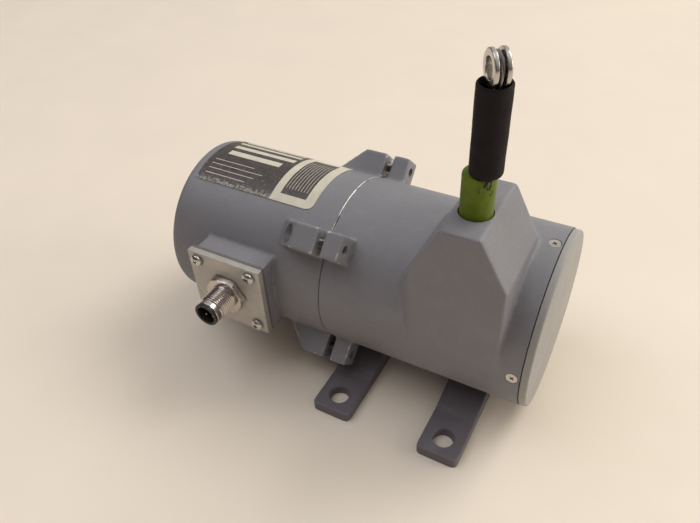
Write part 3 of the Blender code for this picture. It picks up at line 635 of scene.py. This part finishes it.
def stranded(path):
    """Wire rope along a path: strands laid in a helix around a core."""
    bm = bmesh.new()
    strand_r = CABLE_R / 3
    frames = bend_frames(path)
    travelled = [0.0]
    for a, b in zip(path, path[1:]):
        travelled.append(travelled[-1] + (b - a).length)
    for strand in range(STRANDS + 1):
        offset = 0 if strand == STRANDS else CABLE_R - strand_r
        rings = []
        for (place, side, other), along in zip(frames, travelled):
            turn = 2 * pi * (strand / STRANDS + along / CABLE_LAY)
            centre = place + (side * cos(turn) + other * sin(turn)) * offset
            rings.append([
                bm.verts.new(centre + (side * cos(a) + other * sin(a)) * strand_r)
                for a in (2 * pi * k / STRAND_SIDES for k in range(STRAND_SIDES))
            ])
        for low, high in zip(rings, rings[1:]):
            for k in range(STRAND_SIDES):
                m = (k + 1) % STRAND_SIDES
                bm.faces.new((low[k], low[m], high[m], high[k]))
        bm.faces.new(rings[0])
        bm.faces.new(rings[-1])
    return outward(bm)


# --- solids work ---

def solid(bm, name="solid"):
    """An object of a mesh, in the mesh's own units."""
    mesh = bpy.data.meshes.new(name)
    bm.to_mesh(mesh)
    bm.free()
    return linked(name, mesh)


def settle(made):
    """Applies the modifiers."""
    bpy.context.view_layer.update()
    graph = bpy.context.evaluated_depsgraph_get()
    mesh = bpy.data.meshes.new_from_object(made.evaluated_get(graph))
    made.modifiers.clear()
    made.data = mesh
    return made


def combine(made, operation, *others):
    """Applies Booleans, one after another, and clears the others away."""
    for other in others:
        modifier = made.modifiers.new("boolean", "BOOLEAN")
        modifier.operation = operation
        modifier.solver = "EXACT"
        modifier.object = other
    settle(made)
    for other in others:
        bpy.data.objects.remove(other, do_unlink=True)
    return made


def merged(*meshes):
    """One object of several closed meshes, joined into one skin."""
    first = solid(meshes[0])
    return combine(first, "UNION", *[solid(bm) for bm in meshes[1:]])


def cut(made, cutters):
    """Takes closed meshes out of an object, all in one go."""
    combine(made, "DIFFERENCE", merged(*cutters))


def mark_edges(mesh, reach, quiet=None):
    """Stores how sharply each point stands out or lies in; half as much where quiet."""
    bm = bmesh.new()
    bm.from_mesh(mesh)
    bm.normal_update()
    values = []
    for vert in bm.verts:
        bends = [
            edge.calc_face_angle_signed(0) / max(edge.calc_length(), 1e-6)
            for edge in vert.link_edges if len(edge.link_faces) == 2
        ]
        share = 0.5 if quiet and quiet(vert.co) else 1.0
        values.append(sum(bends) / max(1, len(bends)) * reach * share)
    near = [[edge.other_vert(vert).index for edge in vert.link_edges] for vert in bm.verts]
    for _ in range(3):  # blurred, so that wear has no teeth
        values = [
            (value + sum(values[i] for i in others)) / (1 + len(others))
            for value, others in zip(values, near)
        ]
    bm.free()
    for name, sign in (("edge", 1), ("crease", -1)):
        layer = mesh.attributes.new(name, "FLOAT", "POINT")
        layer.data.foreach_set("value", [max(0.0, min(1.0, sign * value)) for value in values])


def casting(solids, voxel, rounds, soft=None):
    """Closed meshes fused and smoothed into one cast skin. soft = (test, extra rounds)."""
    joined = bmesh.new()
    for bm in solids:
        mesh = bpy.data.meshes.new("part")
        bm.to_mesh(mesh)
        bm.free()
        joined.from_mesh(mesh)
        bpy.data.meshes.remove(mesh)
    made = solid(joined, "casting")
    remesh = made.modifiers.new("skin", "REMESH")
    remesh.mode = "VOXEL"
    remesh.voxel_size = voxel
    settle(made)
    if soft:
        test, extra = soft
        group = made.vertex_groups.new(name="soft")
        group.add([v.index for v in made.data.vertices if test(v.co)], 1.0, "REPLACE")
        ease = made.modifiers.new("ease", "SMOOTH")
        ease.factor = 0.5
        ease.iterations = extra
        ease.vertex_group = "soft"
    smooth = made.modifiers.new("smooth", "SMOOTH")
    smooth.factor = 0.5
    smooth.iterations = rounds
    settle(made)
    mark_edges(made.data, CAST_WEAR_AND_SHADE, soft[0] if soft else None)
    return made


def piece(name, made, material, slot, *nodes, body="housing"):
    """Finishes an object: into metres at the home point, shaded, riding, replacing."""
    if isinstance(made, bmesh.types.BMesh):
        made = solid(made, name)
    made.name = name
    made.data.name = name
    made.data.transform(Matrix.Scale(MM, 4))
    made.location = HOME
    made.data.materials.clear()
    made.data.materials.append(material)
    made.data.shade_smooth()
    made.data.set_sharp_from_angle(angle=radians(32))
    bpy.context.view_layer.update()
    if body:
        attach(made, body)
    if nodes:
        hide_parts(*nodes)
    return made


# --- housings ---

def lug(angle, outline):
    """A lug block from an outline of (x, radius) points, at an angle about the shaft."""
    upright = Matrix.Rotation(radians(90), 4, "X")
    turn = Matrix.Rotation(radians(angle - 90), 4, "X")
    return prism(outline, -LUG_WIDTH / 2, LUG_WIDTH / 2, turn @ upright)


def seam_chamfer():
    """A ring that takes the corners off both housings where they meet."""
    deep, wide = 0.22, 0.22 + HALF_GAP
    return turned([
        (HOUSING_R - deep, -HALF_GAP), (HOUSING_R - deep, HALF_GAP),
        (HOUSING_R + deep, wide * 2), (HOUSING_R + deep, -wide * 2),
    ], ROUND)


def lugs(outline):
    """The same lug at all four places."""
    return [lug(angle, outline) for angle in LUG_ANGLES.values()]


def lug_bore(angle, start, end, radius, steps):
    """A cutter on a lug screw's line, between two places along the shaft."""
    return bar(around(angle, start, LUG_SCREW_R), around(angle, end, LUG_SCREW_R), radius, steps)


def cap_bore(angle, low, high, radius, steps, end_radius=None):
    """A cutter on a cap screw's line, between two radii."""
    low, high = around(angle, CAP_SCREW_X, low), around(angle, CAP_SCREW_X, high)
    return bar(low, high, radius, steps, end_radius)


def socket_bore(start, end, radius, steps):
    """A cutter on the connector's line, between two distances from the shaft."""
    return bar((CONNECTOR_X, -start, 0), (CONNECTOR_X, -end, 0), radius, steps)


def upright_bore(x, y, low, high, radius, steps, end_radius=None):
    return bar((x, y, low), (x, y, high), radius, steps, end_radius)


def plate_screw_places():
    out = PLATE_SCREW_OUT
    return [(CONNECTOR_X + sx * out, sz * out) for sz in (1, -1) for sx in (-1, 1)]


def plate_bores(start, end, radius, steps):
    """Cutters for the plate's screws, between two distances from the shaft."""
    return [bar((x, -start, z), (x, -end, z), radius, steps) for x, z in plate_screw_places()]


def make_rear_housing():
    barrel = turned(rounded([
        (0, REAR_END, 0), (HOUSING_R, REAR_END, 2.4), (HOUSING_R, 3, 0), (0, 3, 0),
    ]), ROUND)
    boss = block((BOSS_LEFT, -BOSS_FACE - 3, -BOSS_HALF), (BOSS_RIGHT, -25, BOSS_HALF))
    back, front = REAR_LUG_X
    outline = [
        (front, LUG_ROOT), (front, LUG_TOP), (back, LUG_TOP), (-21, HOUSING_R - 0.5),
        (-21, LUG_ROOT),
    ]
    body = casting([barrel, boss, *lugs(outline)], VOXEL, CAST_ROUNDS)
    cuts = [
        block((-HALF_GAP, -FAR, -FAR), (8, FAR, FAR)),  # the seam's face
        seam_chamfer(),
        block((-62, -50, -25), (-16, -BOSS_FACE, 25)),  # the boss's face
        turned(rounded([
            (0, 6, 0), (0, REAR_INSIDE, 0), (REAR_BORE_R, REAR_INSIDE, 1.5), (REAR_BORE_R, 6, 0),
        ]), 128),
        socket_bore(45, 27, SOCKET_BORE_R, 48),
    ]
    for angle in LUG_ANGLES.values():
        cuts.append(lug_bore(angle, -30, LUG_HEAD_SEAT, 3.9, 40))  # the head's pocket
        cuts.append(lug_bore(angle, -9, 2, 2.3, 32))  # clearance for the shank
    cuts += plate_bores(45, 32.6, 1.5, 20)
    cut(body, cuts)
    # Painted shade: the lug screws' head pockets get the full crease value, which the paint
    # darkens.
    for vert, crease in zip(body.data.vertices, body.data.attributes["crease"].data):
        for angle in LUG_ANGLES.values():
            away = vert.co - around(angle, vert.co.x, LUG_SCREW_R)
            if vert.co.x < -5 and away.length < SHADE_POCKET_R:
                crease.value = 1.0
    piece("rear_housing_cast", body, GREY, "grey_paint", "rear_housing")


def tower():
    """The tower that the cable leaves by: wider downwards, its top corners cut away."""
    left, right, end, slope, foot = CABLE_X - 7.2, CABLE_X + 7.0, 75.2, 0.495, 9
    spread = left - slope * (TOWER_TOP - foot)
    outline = [
        (left, TOWER_TOP), (spread, foot), (spread, 0), (end, 0), (end, 38.6),
        (right, TOWER_TOP),
    ]
    bm = prism(outline, -22, -TOWER_FACE, OUTWARD)
    half_space(bm, (0, -0.5, TOWER_TOP), (0, 0.842, 0.539))
    half_space(bm, (right, -0.5, TOWER_TOP), (0.769, 0.508, 0.391))
    half_space(bm, (left, -0.5, TOWER_TOP), (-0.769, 0.508, 0.391))
    return half_space(bm, (40, TOWER_FACE, 0), (-0.664, -0.748, 0))


def make_front_housing():
    barrel = turned([(0, -4), (HOUSING_R, -4), (HOUSING_R, 88), (0, 88)], ROUND)
    back, front = FRONT_LUG_X
    outline = [(back, LUG_ROOT), (front, LUG_ROOT), (front, LUG_TOP), (back, LUG_TOP)]

    def on_tower(point):
        return point.x > 22 and (point.z > 4 or point.y < -30) and hypot(point.y, point.z) > 35

    solids = [barrel, tower(), *lugs(outline)]
    body = casting(solids, VOXEL, CAST_ROUNDS, (on_tower, TOWER_ROUNDS))
    cuts = [
        block((-9, -FAR, -FAR), (HALF_GAP, FAR, FAR)),  # the seam's face
        seam_chamfer(),
        block((CAP_SEAM - HALF_GAP, -FAR, -FAR), (95, FAR, FAR)),  # the cap's seat
        turned([  # room for the drum, the bearing's seat, the shaft's hole, the encoder side
            (0, 90), (31, 90), (31, 69.9), (29.5, 69.9), (29.5, 12), (11.05, 12), (11.05, 4.8),
            (9, 4.8), (9, 1), (27, 1), (27, -12), (0, -12),
        ], 128),
        upright_bore(CABLE_X, CABLE_Y, 12, 60, 4.3, 40),  # the cable's way out
        upright_bore(CABLE_X, CABLE_Y, 43.5, 60, 6.15, 48),  # the green sleeve's socket
    ]
    for angle in LUG_ANGLES.values():
        cuts.append(lug_bore(angle, 2, 12, 2.05, 32))
    for angle in CAP_SCREWS.values():
        cuts.append(cap_bore(angle, 28, 37, 1.5, 24))
        cuts.append(cap_bore(angle, 35.0, 36.9, 1.45, 40, 2.95))  # countersink
    for x in FOOT_X.values():
        for y in (-FOOT_SCREW_Y, FOOT_SCREW_Y):
            cuts.append(upright_bore(x, y, GROUND, -31.3, 2.0, 24))
    cut(body, cuts)
    spigot = solid(turned([(30.1, -5), (31.9, -5), (31.9, 0.5), (26.9, 0.5), (26.9, -5)], 128))
    combine(body, "UNION", spigot)
    piece("front_housing_cast", body, GREY, "grey_paint", "front_housing")


def make_end_cap():
    rim = HOUSING_R - 0.3
    profile = rounded([
        (0, CAP_FACE, 0), (rim, CAP_FACE, 0.9), (rim, CAP_SEAM + HALF_GAP, 0.25),
        (30.7, CAP_SEAM + HALF_GAP, 0), (30.7, 75.5, 0.4), (26.5, 75.5, 0.3), (26.5, 83, 0.8),
        (0, 83, 0),
    ])
    cap = solid(turned(profile, ROUND))
    cut(cap, [cap_bore(angle, 25, 32, 1.3, 20) for angle in CAP_SCREWS.values()])
    piece("end_cap_disc", cap, CAP_GREY, "cap_paint", "end_cap")


def make_feet():
    """Cast bars: rounded pads, a sloping web, and a saddle under the barrel."""
    half, width, pad, corner = 53.3, 17.5, 4.6, 2.4
    skirt = 2.5  # cast below the ground, then cut off flat
    across = [
        (half, -skirt), (half, pad), (33, pad), (12.7, 9.8),
        (-12.7, 9.8), (-33, pad), (-half, pad), (-half, -skirt),
    ]
    stand = Matrix(((0, 0, 1, 0), (1, 0, 0, 0), (0, 1, 0, 0), (0, 0, 0, 1)))
    for name, x in FOOT_X.items():
        place = Matrix.Translation((x, 0, GROUND)) @ stand
        web = solid(prism(across, -width / 2, width / 2, place))
        plan = rounded([
            (x - width / 2, -half, corner), (x + width / 2, -half, corner),
            (x + width / 2, half, corner), (x - width / 2, half, corner),
        ], 5)
        combine(web, "INTERSECT", solid(prism(plan, GROUND - 1.5 * skirt, GROUND + 12)))
        shape = bmesh.new()
        shape.from_mesh(web.data)
        bpy.data.objects.remove(web, do_unlink=True)
        foot = casting([shape], FOOT_VOXEL, FOOT_ROUNDS)
        cuts = [
            bar((x - 20, 0, 0), (x + 20, 0, 0), HOUSING_R + 0.3, ROUND),
            block((x - 20, -FAR, GROUND - 9), (x + 20, FAR, GROUND)),
        ]
        for side in (-1, 1):
            y, top = side * FOOT_HOLE_Y, GROUND + pad
            cuts.append(upright_bore(x, y, GROUND - 2, GROUND + 8, 4.3, 48))
            cuts.append(upright_bore(x, y, top - 0.5, top + 0.6, 4.2, 48, 5.2))  # eased edge
            y = side * FOOT_SCREW_Y
            cuts.append(upright_bore(x, y, GROUND - 2, -30, 2.0, 24))
            cuts.append(upright_bore(x, y, GROUND - 0.3, GROUND + 2.9, 4.6, 32, 2.0))
        cut(foot, cuts)
        piece(name + "_bar", foot, FOOT_GREY_SHADED, "grey_paint", name)


# --- screws ---

def cross_recess(width, depth):
    """A tapering cross, to be cut from a head whose top is at height 0."""
    wings = []
    for turn in (0, 90):
        wing = prism(
            [(-width / 2, -width / 9), (width / 2, -width / 9),
             (width / 2, width / 9), (-width / 2, width / 9)], -depth, depth,
        )
        for vert in wing.verts:
            if vert.co.z < 0:
                vert.co.x *= 0.5
                vert.co.y *= 0.7
        wings.append(placed(wing, Matrix.Rotation(radians(turn), 4, "Z")))
    return merged(*wings)


def cross_screw(name, profile, low, pitch, place, facing, turn, drive):
    """A cross-recessed screw. profile is its head; the thread runs down to low."""
    shank, start = profile[-1]
    rows = fine(low, start, pitch / 5)[::-1]
    full = profile + [(shank, h) for h in rows[1:]] + [(0, low)]
    body = solid(turned(full, 40, push=thread(pitch, 0.22, low, start - 0.2), facing=UPRIGHT))
    combine(body, "DIFFERENCE", cross_recess(*drive))
    lean = Vector(facing).to_track_quat("Z", "Y").to_matrix().to_4x4()
    spin = Matrix.Rotation(radians(turn), 4, "Z")
    body.data.transform(Matrix.Translation(place) @ lean @ spin)
    piece(name + "_cut", body, STEEL, "steel", name)


def make_screws():
    pan = rounded([
        (0, 0, 0), (1.5, -0.02, 0.8), (2.8, -0.75, 0.6), (2.8, -1.8, 0.12), (1.2, -1.8, 0),
    ])
    turns = (20, 62, 35, 8)
    for i, (x, z) in enumerate(plate_screw_places()):
        place = (x, -PLATE_FACE - 0.3 - 1.8, z)
        cross_screw(
            f"plate_screw_{i + 1}", pan, -11, 0.5, place, (0, -1, 0), turns[i], (3.0, 1.15),
        )
    flat = [(0, 0), (2.2, 0), (2.28, -0.08), (1.2, -1.3)]
    turns = (38, 12, 70, 50)
    for i, (label, angle) in enumerate(CAP_SCREWS.items()):
        cross_screw(
            "cap_screw_" + label, flat, -9.5, 0.5, around(angle, CAP_SCREW_X, HOUSING_R - 0.25),
            around(angle, 0, 1), turns[i], (2.5, 0.9),
        )
    wide = [(0, 0), (3.5, 0), (3.6, -0.1), (1.7, -2.2)]
    turns = (15, 44, 71, 30)
    places = [(x, side * FOOT_SCREW_Y) for x in FOOT_X.values() for side in (-1, 1)]
    for i, (x, y) in enumerate(places):
        cross_screw(
            f"foot_screw_{i + 1}", wide, -11.4, 0.7, (x, y, GROUND + 0.6), (0, 0, -1),
            turns[i], (3.6, 1.3),
        )
    head, tip, pitch = 4, -20.4, 0.7
    rows = fine(tip, -head - 0.2, pitch / 5)[::-1]
    profile = rounded([(0, 0, 0), (3.5, 0, 0.35), (3.5, -head, 0.2), (2, -head, 0)])
    profile += [(2, h) for h in rows] + [(0, tip)]
    inward = Matrix.Rotation(radians(-90), 4, "Y")
    for i, (label, angle) in enumerate(LUG_ANGLES.items()):
        push = thread(pitch, 0.3, tip, -head - 0.4)
        body = solid(turned(profile, 36, push=push, facing=UPRIGHT))
        combine(body, "DIFFERENCE", solid(prism(hexagon(3), -2, 2)))
        place = around(angle, LUG_HEAD_SEAT - 0.3 - head, LUG_SCREW_R)
        spin = Matrix.Rotation(radians(17 * i), 4, "Z")
        body.data.transform(Matrix.Translation(place) @ inward @ spin)
        name = "lug_screw_" + label
        piece(name + "_cut", body, SHADED_LUG_STEEL, "steel", name)


# --- connector ---

def make_connector():
    corners = (-58, -PLATE_FACE, -BOSS_HALF), (BOSS_RIGHT, -41.8, BOSS_HALF)
    plate = solid(block(*corners, 0.35, 3))
    cut(plate, [socket_bore(46, 40, 8.0, 64), *plate_bores(46, 40, 1.6, 24)])
    mark_edges(plate.data, MACHINED_WEAR)
    piece("connector_plate_milled", plate, PLATE, "aluminium", "connector_plate")

    place = (CONNECTOR_X, 0, 0)
    tip, face = CONNECTOR_TIP, PLATE_FACE
    low, high, collar = face + 3.4, tip - 4.0, tip - 1.2
    outside = rounded([
        (5.2, 36.2, 0), (7.7, 36.2, 0.3), (7.7, face + 1, 0.1), (5.9, face + 1, 0.1),
        (5.98, low, 0.02),
    ])
    nose = rounded([
        (5.98, high, 0.1), (5.55, high + 0.5, 0.1), (5.55, collar - 0.3, 0.15),
        (5.3, collar, 0.05), (4.95, collar, 0.05), (4.95, 52, 0.1), (5.2, 52, 0.1),
    ])
    rows = [(5.98, h) for h in fine(low + 0.2, high - 0.2, 0.1)]
    shell = solid(turned(
        outside + rows + nose, 96, place, OUTWARD, thread(1.0, 0.5, low + 0.1, high - 0.1),
    ))
    flange = solid(prism(
        hexagon(17), face + 0.3, face + 3.2, Matrix.Translation(place) @ OUTWARD, 0.25,
    ))
    round_off = solid(turned(rounded([
        (5.2, face + 0.3, 0), (9.35, face + 0.3, 0.1), (8.7, face + 3.2, 0.4),
        (5.2, face + 3.2, 0),
    ]), 96, place, OUTWARD))
    combine(flange, "DIFFERENCE", solid(socket_bore(40, 50, 5.35, 64)))
    combine(flange, "INTERSECT", round_off)
    combine(shell, "UNION", flange)
    piece("connector_shell_turned", shell, NICKEL, "nickel", "connector_shell")

    socket = CONTACT_FLOOR
    insert = turned(rounded([
        (0, 35.4, 0), (4.85, 35.4, 0.2), (4.85, collar + 0.1, 0), (5.45, collar + 0.1, 0.08),
        (5.45, tip - 0.05, 0.35), (4.15, tip - 0.05, 0.25), (4.15, socket, 0.2), (0, socket, 0),
    ]), 64, place, OUTWARD)
    key = block((CONNECTOR_X - 0.6, -59.2, 3.4), (CONNECTOR_X + 0.6, -socket + 1, 4.4), 0.1)
    piece(
        "connector_insert_moulded", merged(insert, key), BLACK_PLASTIC,
        "black_plastic", "connector_insert",
    )
    for i in range(4):
        angle = radians(45 + 90 * i)
        x, z = CONNECTOR_X + CONTACT_RING_R * cos(angle), CONTACT_RING_R * sin(angle)
        pin = turned(rounded([
            (0, socket + 0.3, 0), (0.5, socket + 0.3, 0), (0.5, 58.2, 0.45), (0, 58.2, 0),
        ]), 20, (x, 0, z), OUTWARD)
        piece(f"contact_pin_{i + 1}_round", pin, GOLD, "gold", f"contact_pin_{i + 1}")

    gasket = solid(block((-57.9, -41.77, -17.15), (-21.95, -40.73, 17.15), 0.08))
    combine(gasket, "DIFFERENCE", solid(socket_bore(45, 38, SOCKET_BORE_R, 64)))
    piece("plate_gasket_rubber", gasket, GASKET, "seal_rubber", "plate_gasket")


# --- label ---

def label_material():
    """A printed film with blank form fields, no lettering, its near edge rubbed away."""
    cream, ink = (0.66, 0.62, 0.50), (0.066, 0.055, 0.052)
    finish = Finish("printed_film", cream, 0.38)
    u, v = finish.axes(finish.node("UVMap", {}, uv_map="film")["UV"])[:2]

    def field(low, high, bottom, top):
        across = finish.math("COMPARE", u, (low + high) / 2, (high - low) / 2)
        along = finish.math("COMPARE", v, (bottom + top) / 2, (top - bottom) / 2)
        return finish.times(across, along)

    def total(masks):
        result = masks[0]
        for mask in masks[1:]:
            result = finish.math("MAXIMUM", result, mask)
        return result

    panels = total([field(0.0, 0.655, -0.1, 1.1), field(0.715, 0.925, 0.10, 0.84)])
    blanks = [
        field(0.10, 0.56, 0.44, 0.525), field(0.08, 0.62, 0.60, 0.675),
        field(0.06, 0.62, 0.75, 0.81), field(0.06, 0.60, 0.88, 0.94),
    ]
    rules = [field(0.732 + 0.024 * i, 0.736 + 0.024 * i, 0.18, 0.74) for i in range(8)]
    rules += [field(0.05, 0.40 + 0.05 * (i % 3), 0.10 + 0.07 * i, 0.108 + 0.07 * i)
              for i in range(4)]
    open_areas = total(blanks + rules)
    printed = finish.math("SUBTRACT", panels, open_areas, clamp=True)
    ragged = finish.patches(1.6, 6, 0.3, 0.7, -0.5, 0.5)
    inward = finish.math("ADD", finish.times(v, 13.0), ragged)
    worn = finish.remap(inward, 0.40, 0.80, 0.8, 0)
    rubbed = finish.times(worn, finish.patches(1.1, 4, 0.40, 0.60, 0.1, 0.62))
    flecks = finish.patches(0.8, 3, 0.66, 0.69, 0, 0.3)
    ink_left = finish.times(
        printed, finish.math("SUBTRACT", 1.0, finish.math("MAXIMUM", rubbed, flecks)),
    )
    paper = finish.shade(cream, finish.noise(6, 4), 0.10)
    black = finish.shade(ink, finish.noise(2.5, 5), 0.35)
    finish.colour(finish.mix(ink_left, paper, black))
    finish.rough(finish.noise(2, 4), 0.30, 0.48)
    finish.bump(finish.noise(5, 2), 0.06)
    return finish.material


def make_label():
    """A thin film round the barrel, rounded at its corners, with its own UV map."""
    across, along = 120, 64
    bm = bmesh.new()
    film = bm.loops.layers.uv.new("film")
    low, high = LABEL_X

    def inset(corner, near):
        """How far a rounded corner pulls the edge in, at a distance from its end."""
        return corner - (corner ** 2 - max(0, corner - near) ** 2) ** 0.5

    grid = []
    for j in range(along + 1):
        s = LABEL_ARC * j / along
        angle = LABEL_END - s / LABEL_ARC_R * 180 / pi
        near = min(s, LABEL_ARC - s)
        left = low + inset(LABEL_CORNER * 0.3, near)
        right = high - inset(LABEL_CORNER, near)
        grid.append([
            (left + i / across * (right - left), angle, s) for i in range(across + 1)
        ])
    sheets = []
    for lift in (0.0, LABEL_THICK):
        sheets.append([[
            bm.verts.new(around(angle, x, LABEL_R + lift)) for x, angle, _ in row
        ] for row in grid])

    def face(corners):
        made = bm.faces.new([vert for vert, _ in corners])
        for loop, (_, (x, _, s)) in zip(made.loops, corners):
            loop[film].uv = ((x - low) / (high - low), s / LABEL_ARC)

    for sheet in sheets:
        for j in range(along):
            for i in range(across):
                face([(sheet[b][a], grid[b][a]) for b, a in
                      ((j, i), (j, i + 1), (j + 1, i + 1), (j + 1, i))])
    rim = [(0, i) for i in range(across)] + [(j, across) for j in range(along)]
    rim += [(along, i) for i in range(across, 0, -1)] + [(j, 0) for j in range(along, 0, -1)]
    for a, b in zip(rim, rim[1:] + rim[:1]):
        face([
            (sheets[level][j][i], grid[j][i])
            for level, (j, i) in ((0, a), (0, b), (1, b), (1, a))
        ])
    piece("rating_label_film", outward(bm), label_material(), "label_film", "rating_label")


# --- cable outlet and cable end ---

def make_stop_sleeve():
    """Soft green sleeve: not quite round, with a rounded mouth."""
    def push(r, h, a):
        if r < 5:
            return r
        wave = noise.noise(Vector((cos(a) * 1.6, sin(a) * 1.6, h * 0.16)))
        return r + 0.09 * wave - 0.04

    heights = fine(46.6, STOP_TOP - 1.0, 0.8)
    profile = (
        [(3.3, 45.9), (5.4, 45.9), (5.72, 46.2)] + [(5.74, h) for h in heights]
        + [(5.72, STOP_TOP - 0.7), (5.6, STOP_TOP - 0.3), (5.3, STOP_TOP - 0.03),
           (4.9, STOP_TOP), (3.6, STOP_TOP - 0.1), (3.3, STOP_TOP - 0.5)]
    )
    sleeve = turned(profile, 72, (CABLE_X, CABLE_Y, 0), UPRIGHT, push)
    piece("stop_sleeve_soft", sleeve, GREEN_RUBBER, "green_rubber", "stop_sleeve")


def make_end_sleeve():
    """Heat-shrink sleeve: lumps over the ferrule, fine ripples, an uneven mouth."""
    low, high = STOP_TOP + 0.32, 104.0

    def push(r, h, a):
        if r < 5:
            return r
        round_about = Vector((cos(a) * 1.2, sin(a) * 1.2, h * 0.12))
        lump = noise.noise(round_about + Vector((3.1, 0, 0)))
        ripple = noise.noise(Vector((cos(a) * 0.8, sin(a) * 0.8, h * 1.1)))
        return r + 0.13 * lump + 0.035 * ripple - 0.06

    heights = fine(low + 1.3, high - 0.9, 0.45)
    profile = (
        [(2.6, low + 0.1), (3.4, low), (4.9, low), (5.35, low + 0.2), (5.56, low + 0.7)]
        + [(5.64, h) for h in heights]
        + [(5.6, high - 0.4), (5.4, high - 0.08), (5.1, high), (4.75, high - 0.15),
           (4.6, high - 0.6), (4.6, 92.5), (3.6, 91.6), (2.6, 91.0)]
    )
    sleeve = turned(profile, 72, (END_X, CABLE_Y, 0), UPRIGHT, push)
    piece("end_sleeve_shrunk", sleeve, BLACK_RUBBER, "black_rubber", "end_sleeve", body="cable_end")


EYELET = Vector((END_X + 0.2, CABLE_Y, EYELET_HEIGHT))
EYELET_ALONG = Vector((0.8, 0.6, 0))
EYELET_ACROSS = Vector((-0.6, 0.8, 0))


def make_eyelet():
    facing = Matrix((
        (EYELET_ACROSS.x, 0, EYELET_ALONG.x, 0), (EYELET_ACROSS.y, 0, EYELET_ALONG.y, 0),
        (0, 1, 0, 0), (0, 0, 0, 1),
    ))
    half = 2.6
    profile = rounded([
        (3.25, -half, 0.35), (5.6, -half, 0.55), (5.6, -1.2, 0.25), (3.8, -1.0, 0.4),
        (3.8, 1.0, 0.4), (5.6, 1.2, 0.25), (5.6, half, 0.55), (3.25, half, 0.35),
    ], 5)
    eyelet = turned(profile, 96, EYELET, facing)
    piece("eyelet_thimble", eyelet, STEEL, "steel", "eyelet", body="cable_end")


def make_cable():
    """Twisted wire rope: from the drum's edge up to the ferrule, and round the eyelet."""
    run = []
    for h in fine(0.5, 77.0, 0.6):
        t = min(1.0, max(0.0, (h - 44) / 33))
        run.append(Vector((CABLE_X + (END_X - CABLE_X) * t * t * (3 - 2 * t), CABLE_Y, h)))
    rope = piece(
        "measuring_cable_rope", stranded(run), CABLE_STEEL, "steel",
        "measuring_cable", body=None,
    )
    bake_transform(rope)

    loop_r, tail, knee, low = 3.8 + CABLE_R + 0.15, 0.75, -11.0, 90.3 - EYELET_HEIGHT
    corners = [(tail, low), (tail, knee)]
    start = radians(-32)
    count = 40
    for i in range(count + 1):
        a = start + (pi - 2 * start) * i / count
        corners.append((loop_r * cos(a), loop_r * sin(a)))
    corners += [(-tail, knee), (-tail, low)]
    path = []
    for a, b in zip(corners, corners[1:]):
        a, b = Vector(a), Vector(b)
        steps = max(1, round((b - a).length / 0.5))
        path += [a.lerp(b, k / steps) for k in range(steps)]
    path.append(Vector(corners[-1]))
    for _ in range(12):
        path = [path[0]] + [
            (a + b * 2 + c) / 4 for a, b, c in zip(path, path[1:], path[2:])
        ] + [path[-1]]
    rope = [EYELET + EYELET_ACROSS * p.x + Vector((0, 0, p.y)) for p in path]
    piece(
        "cable_loop_rope", stranded(rope), CABLE_STEEL, "steel", "cable_loop", body="cable_end",
    )
    ferrule = turned(rounded([
        (0, 77.3, 0), (1.9, 77.3, 0.2), (2.2, 78.0, 0.2), (2.2, 81.0, 0.3), (1.95, 81.8, 0.3),
        (1.95, 83.0, 0.3), (2.2, 83.8, 0.3), (2.2, 89.3, 0.2), (1.9, 90.0, 0.2), (0, 90.0, 0),
    ]), 40, (END_X, CABLE_Y, 0), UPRIGHT)
    piece("crimp_ferrule_pressed", ferrule, STEEL, "steel", "crimp_ferrule", body="cable_end")


make_rear_housing()
make_front_housing()
make_end_cap()
make_feet()
make_screws()
make_connector()
make_label()
make_stop_sleeve()
make_end_sleeve()
make_eyelet()
make_cable()


# --- CAD nodes that stay ---

KEPT = {
    TURNED: (
        "main_shaft", "encoder_shaft", "spring_arbor", "spring_case", "spring_case_cover",
        "front_bearing_inner_ring", "front_bearing_outer_ring", "rear_bearing_inner_ring",
        "rear_bearing_outer_ring",
    ),
    CABLE_STEEL: ("cable_winding", "power_spring"),
    ALUMINIUM: (
        "cable_drum", "bearing_plate", "shaft_coupling", "encoder_base", "encoder_cover",
    ),
    BRONZE: ("cable_guide", "encoder_bush"),
    NICKEL: ("connector_locknut",),
    SEAL_RUBBER: ("seam_seal_ring",),
    BLACK_PLASTIC: ("read_head",),
    WIRE: ("connector_wiring",),
    board_material(): ("encoder_board",),
    glass_material(): ("code_disc",),
}
for finish, names in KEPT.items():
    for name in names:
        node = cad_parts[name]
        node.data.materials.clear()
        node.data.materials.append(finish)


# --- floor ---

def make_floor():
    bm = bmesh.new()
    bmesh.ops.create_grid(bm, x_segments=1, y_segments=1, size=FLOOR_SIZE)
    floor = solid(bm, "floor")
    finish = Finish("pale_floor", FLOOR, 0.6)
    finish.colour(finish.shade(FLOOR, finish.noise(60, 3), 0.02))
    finish.rough(finish.noise(20, 3), 0.5, 0.65)
    floor.data.materials.append(finish.material)


make_floor()
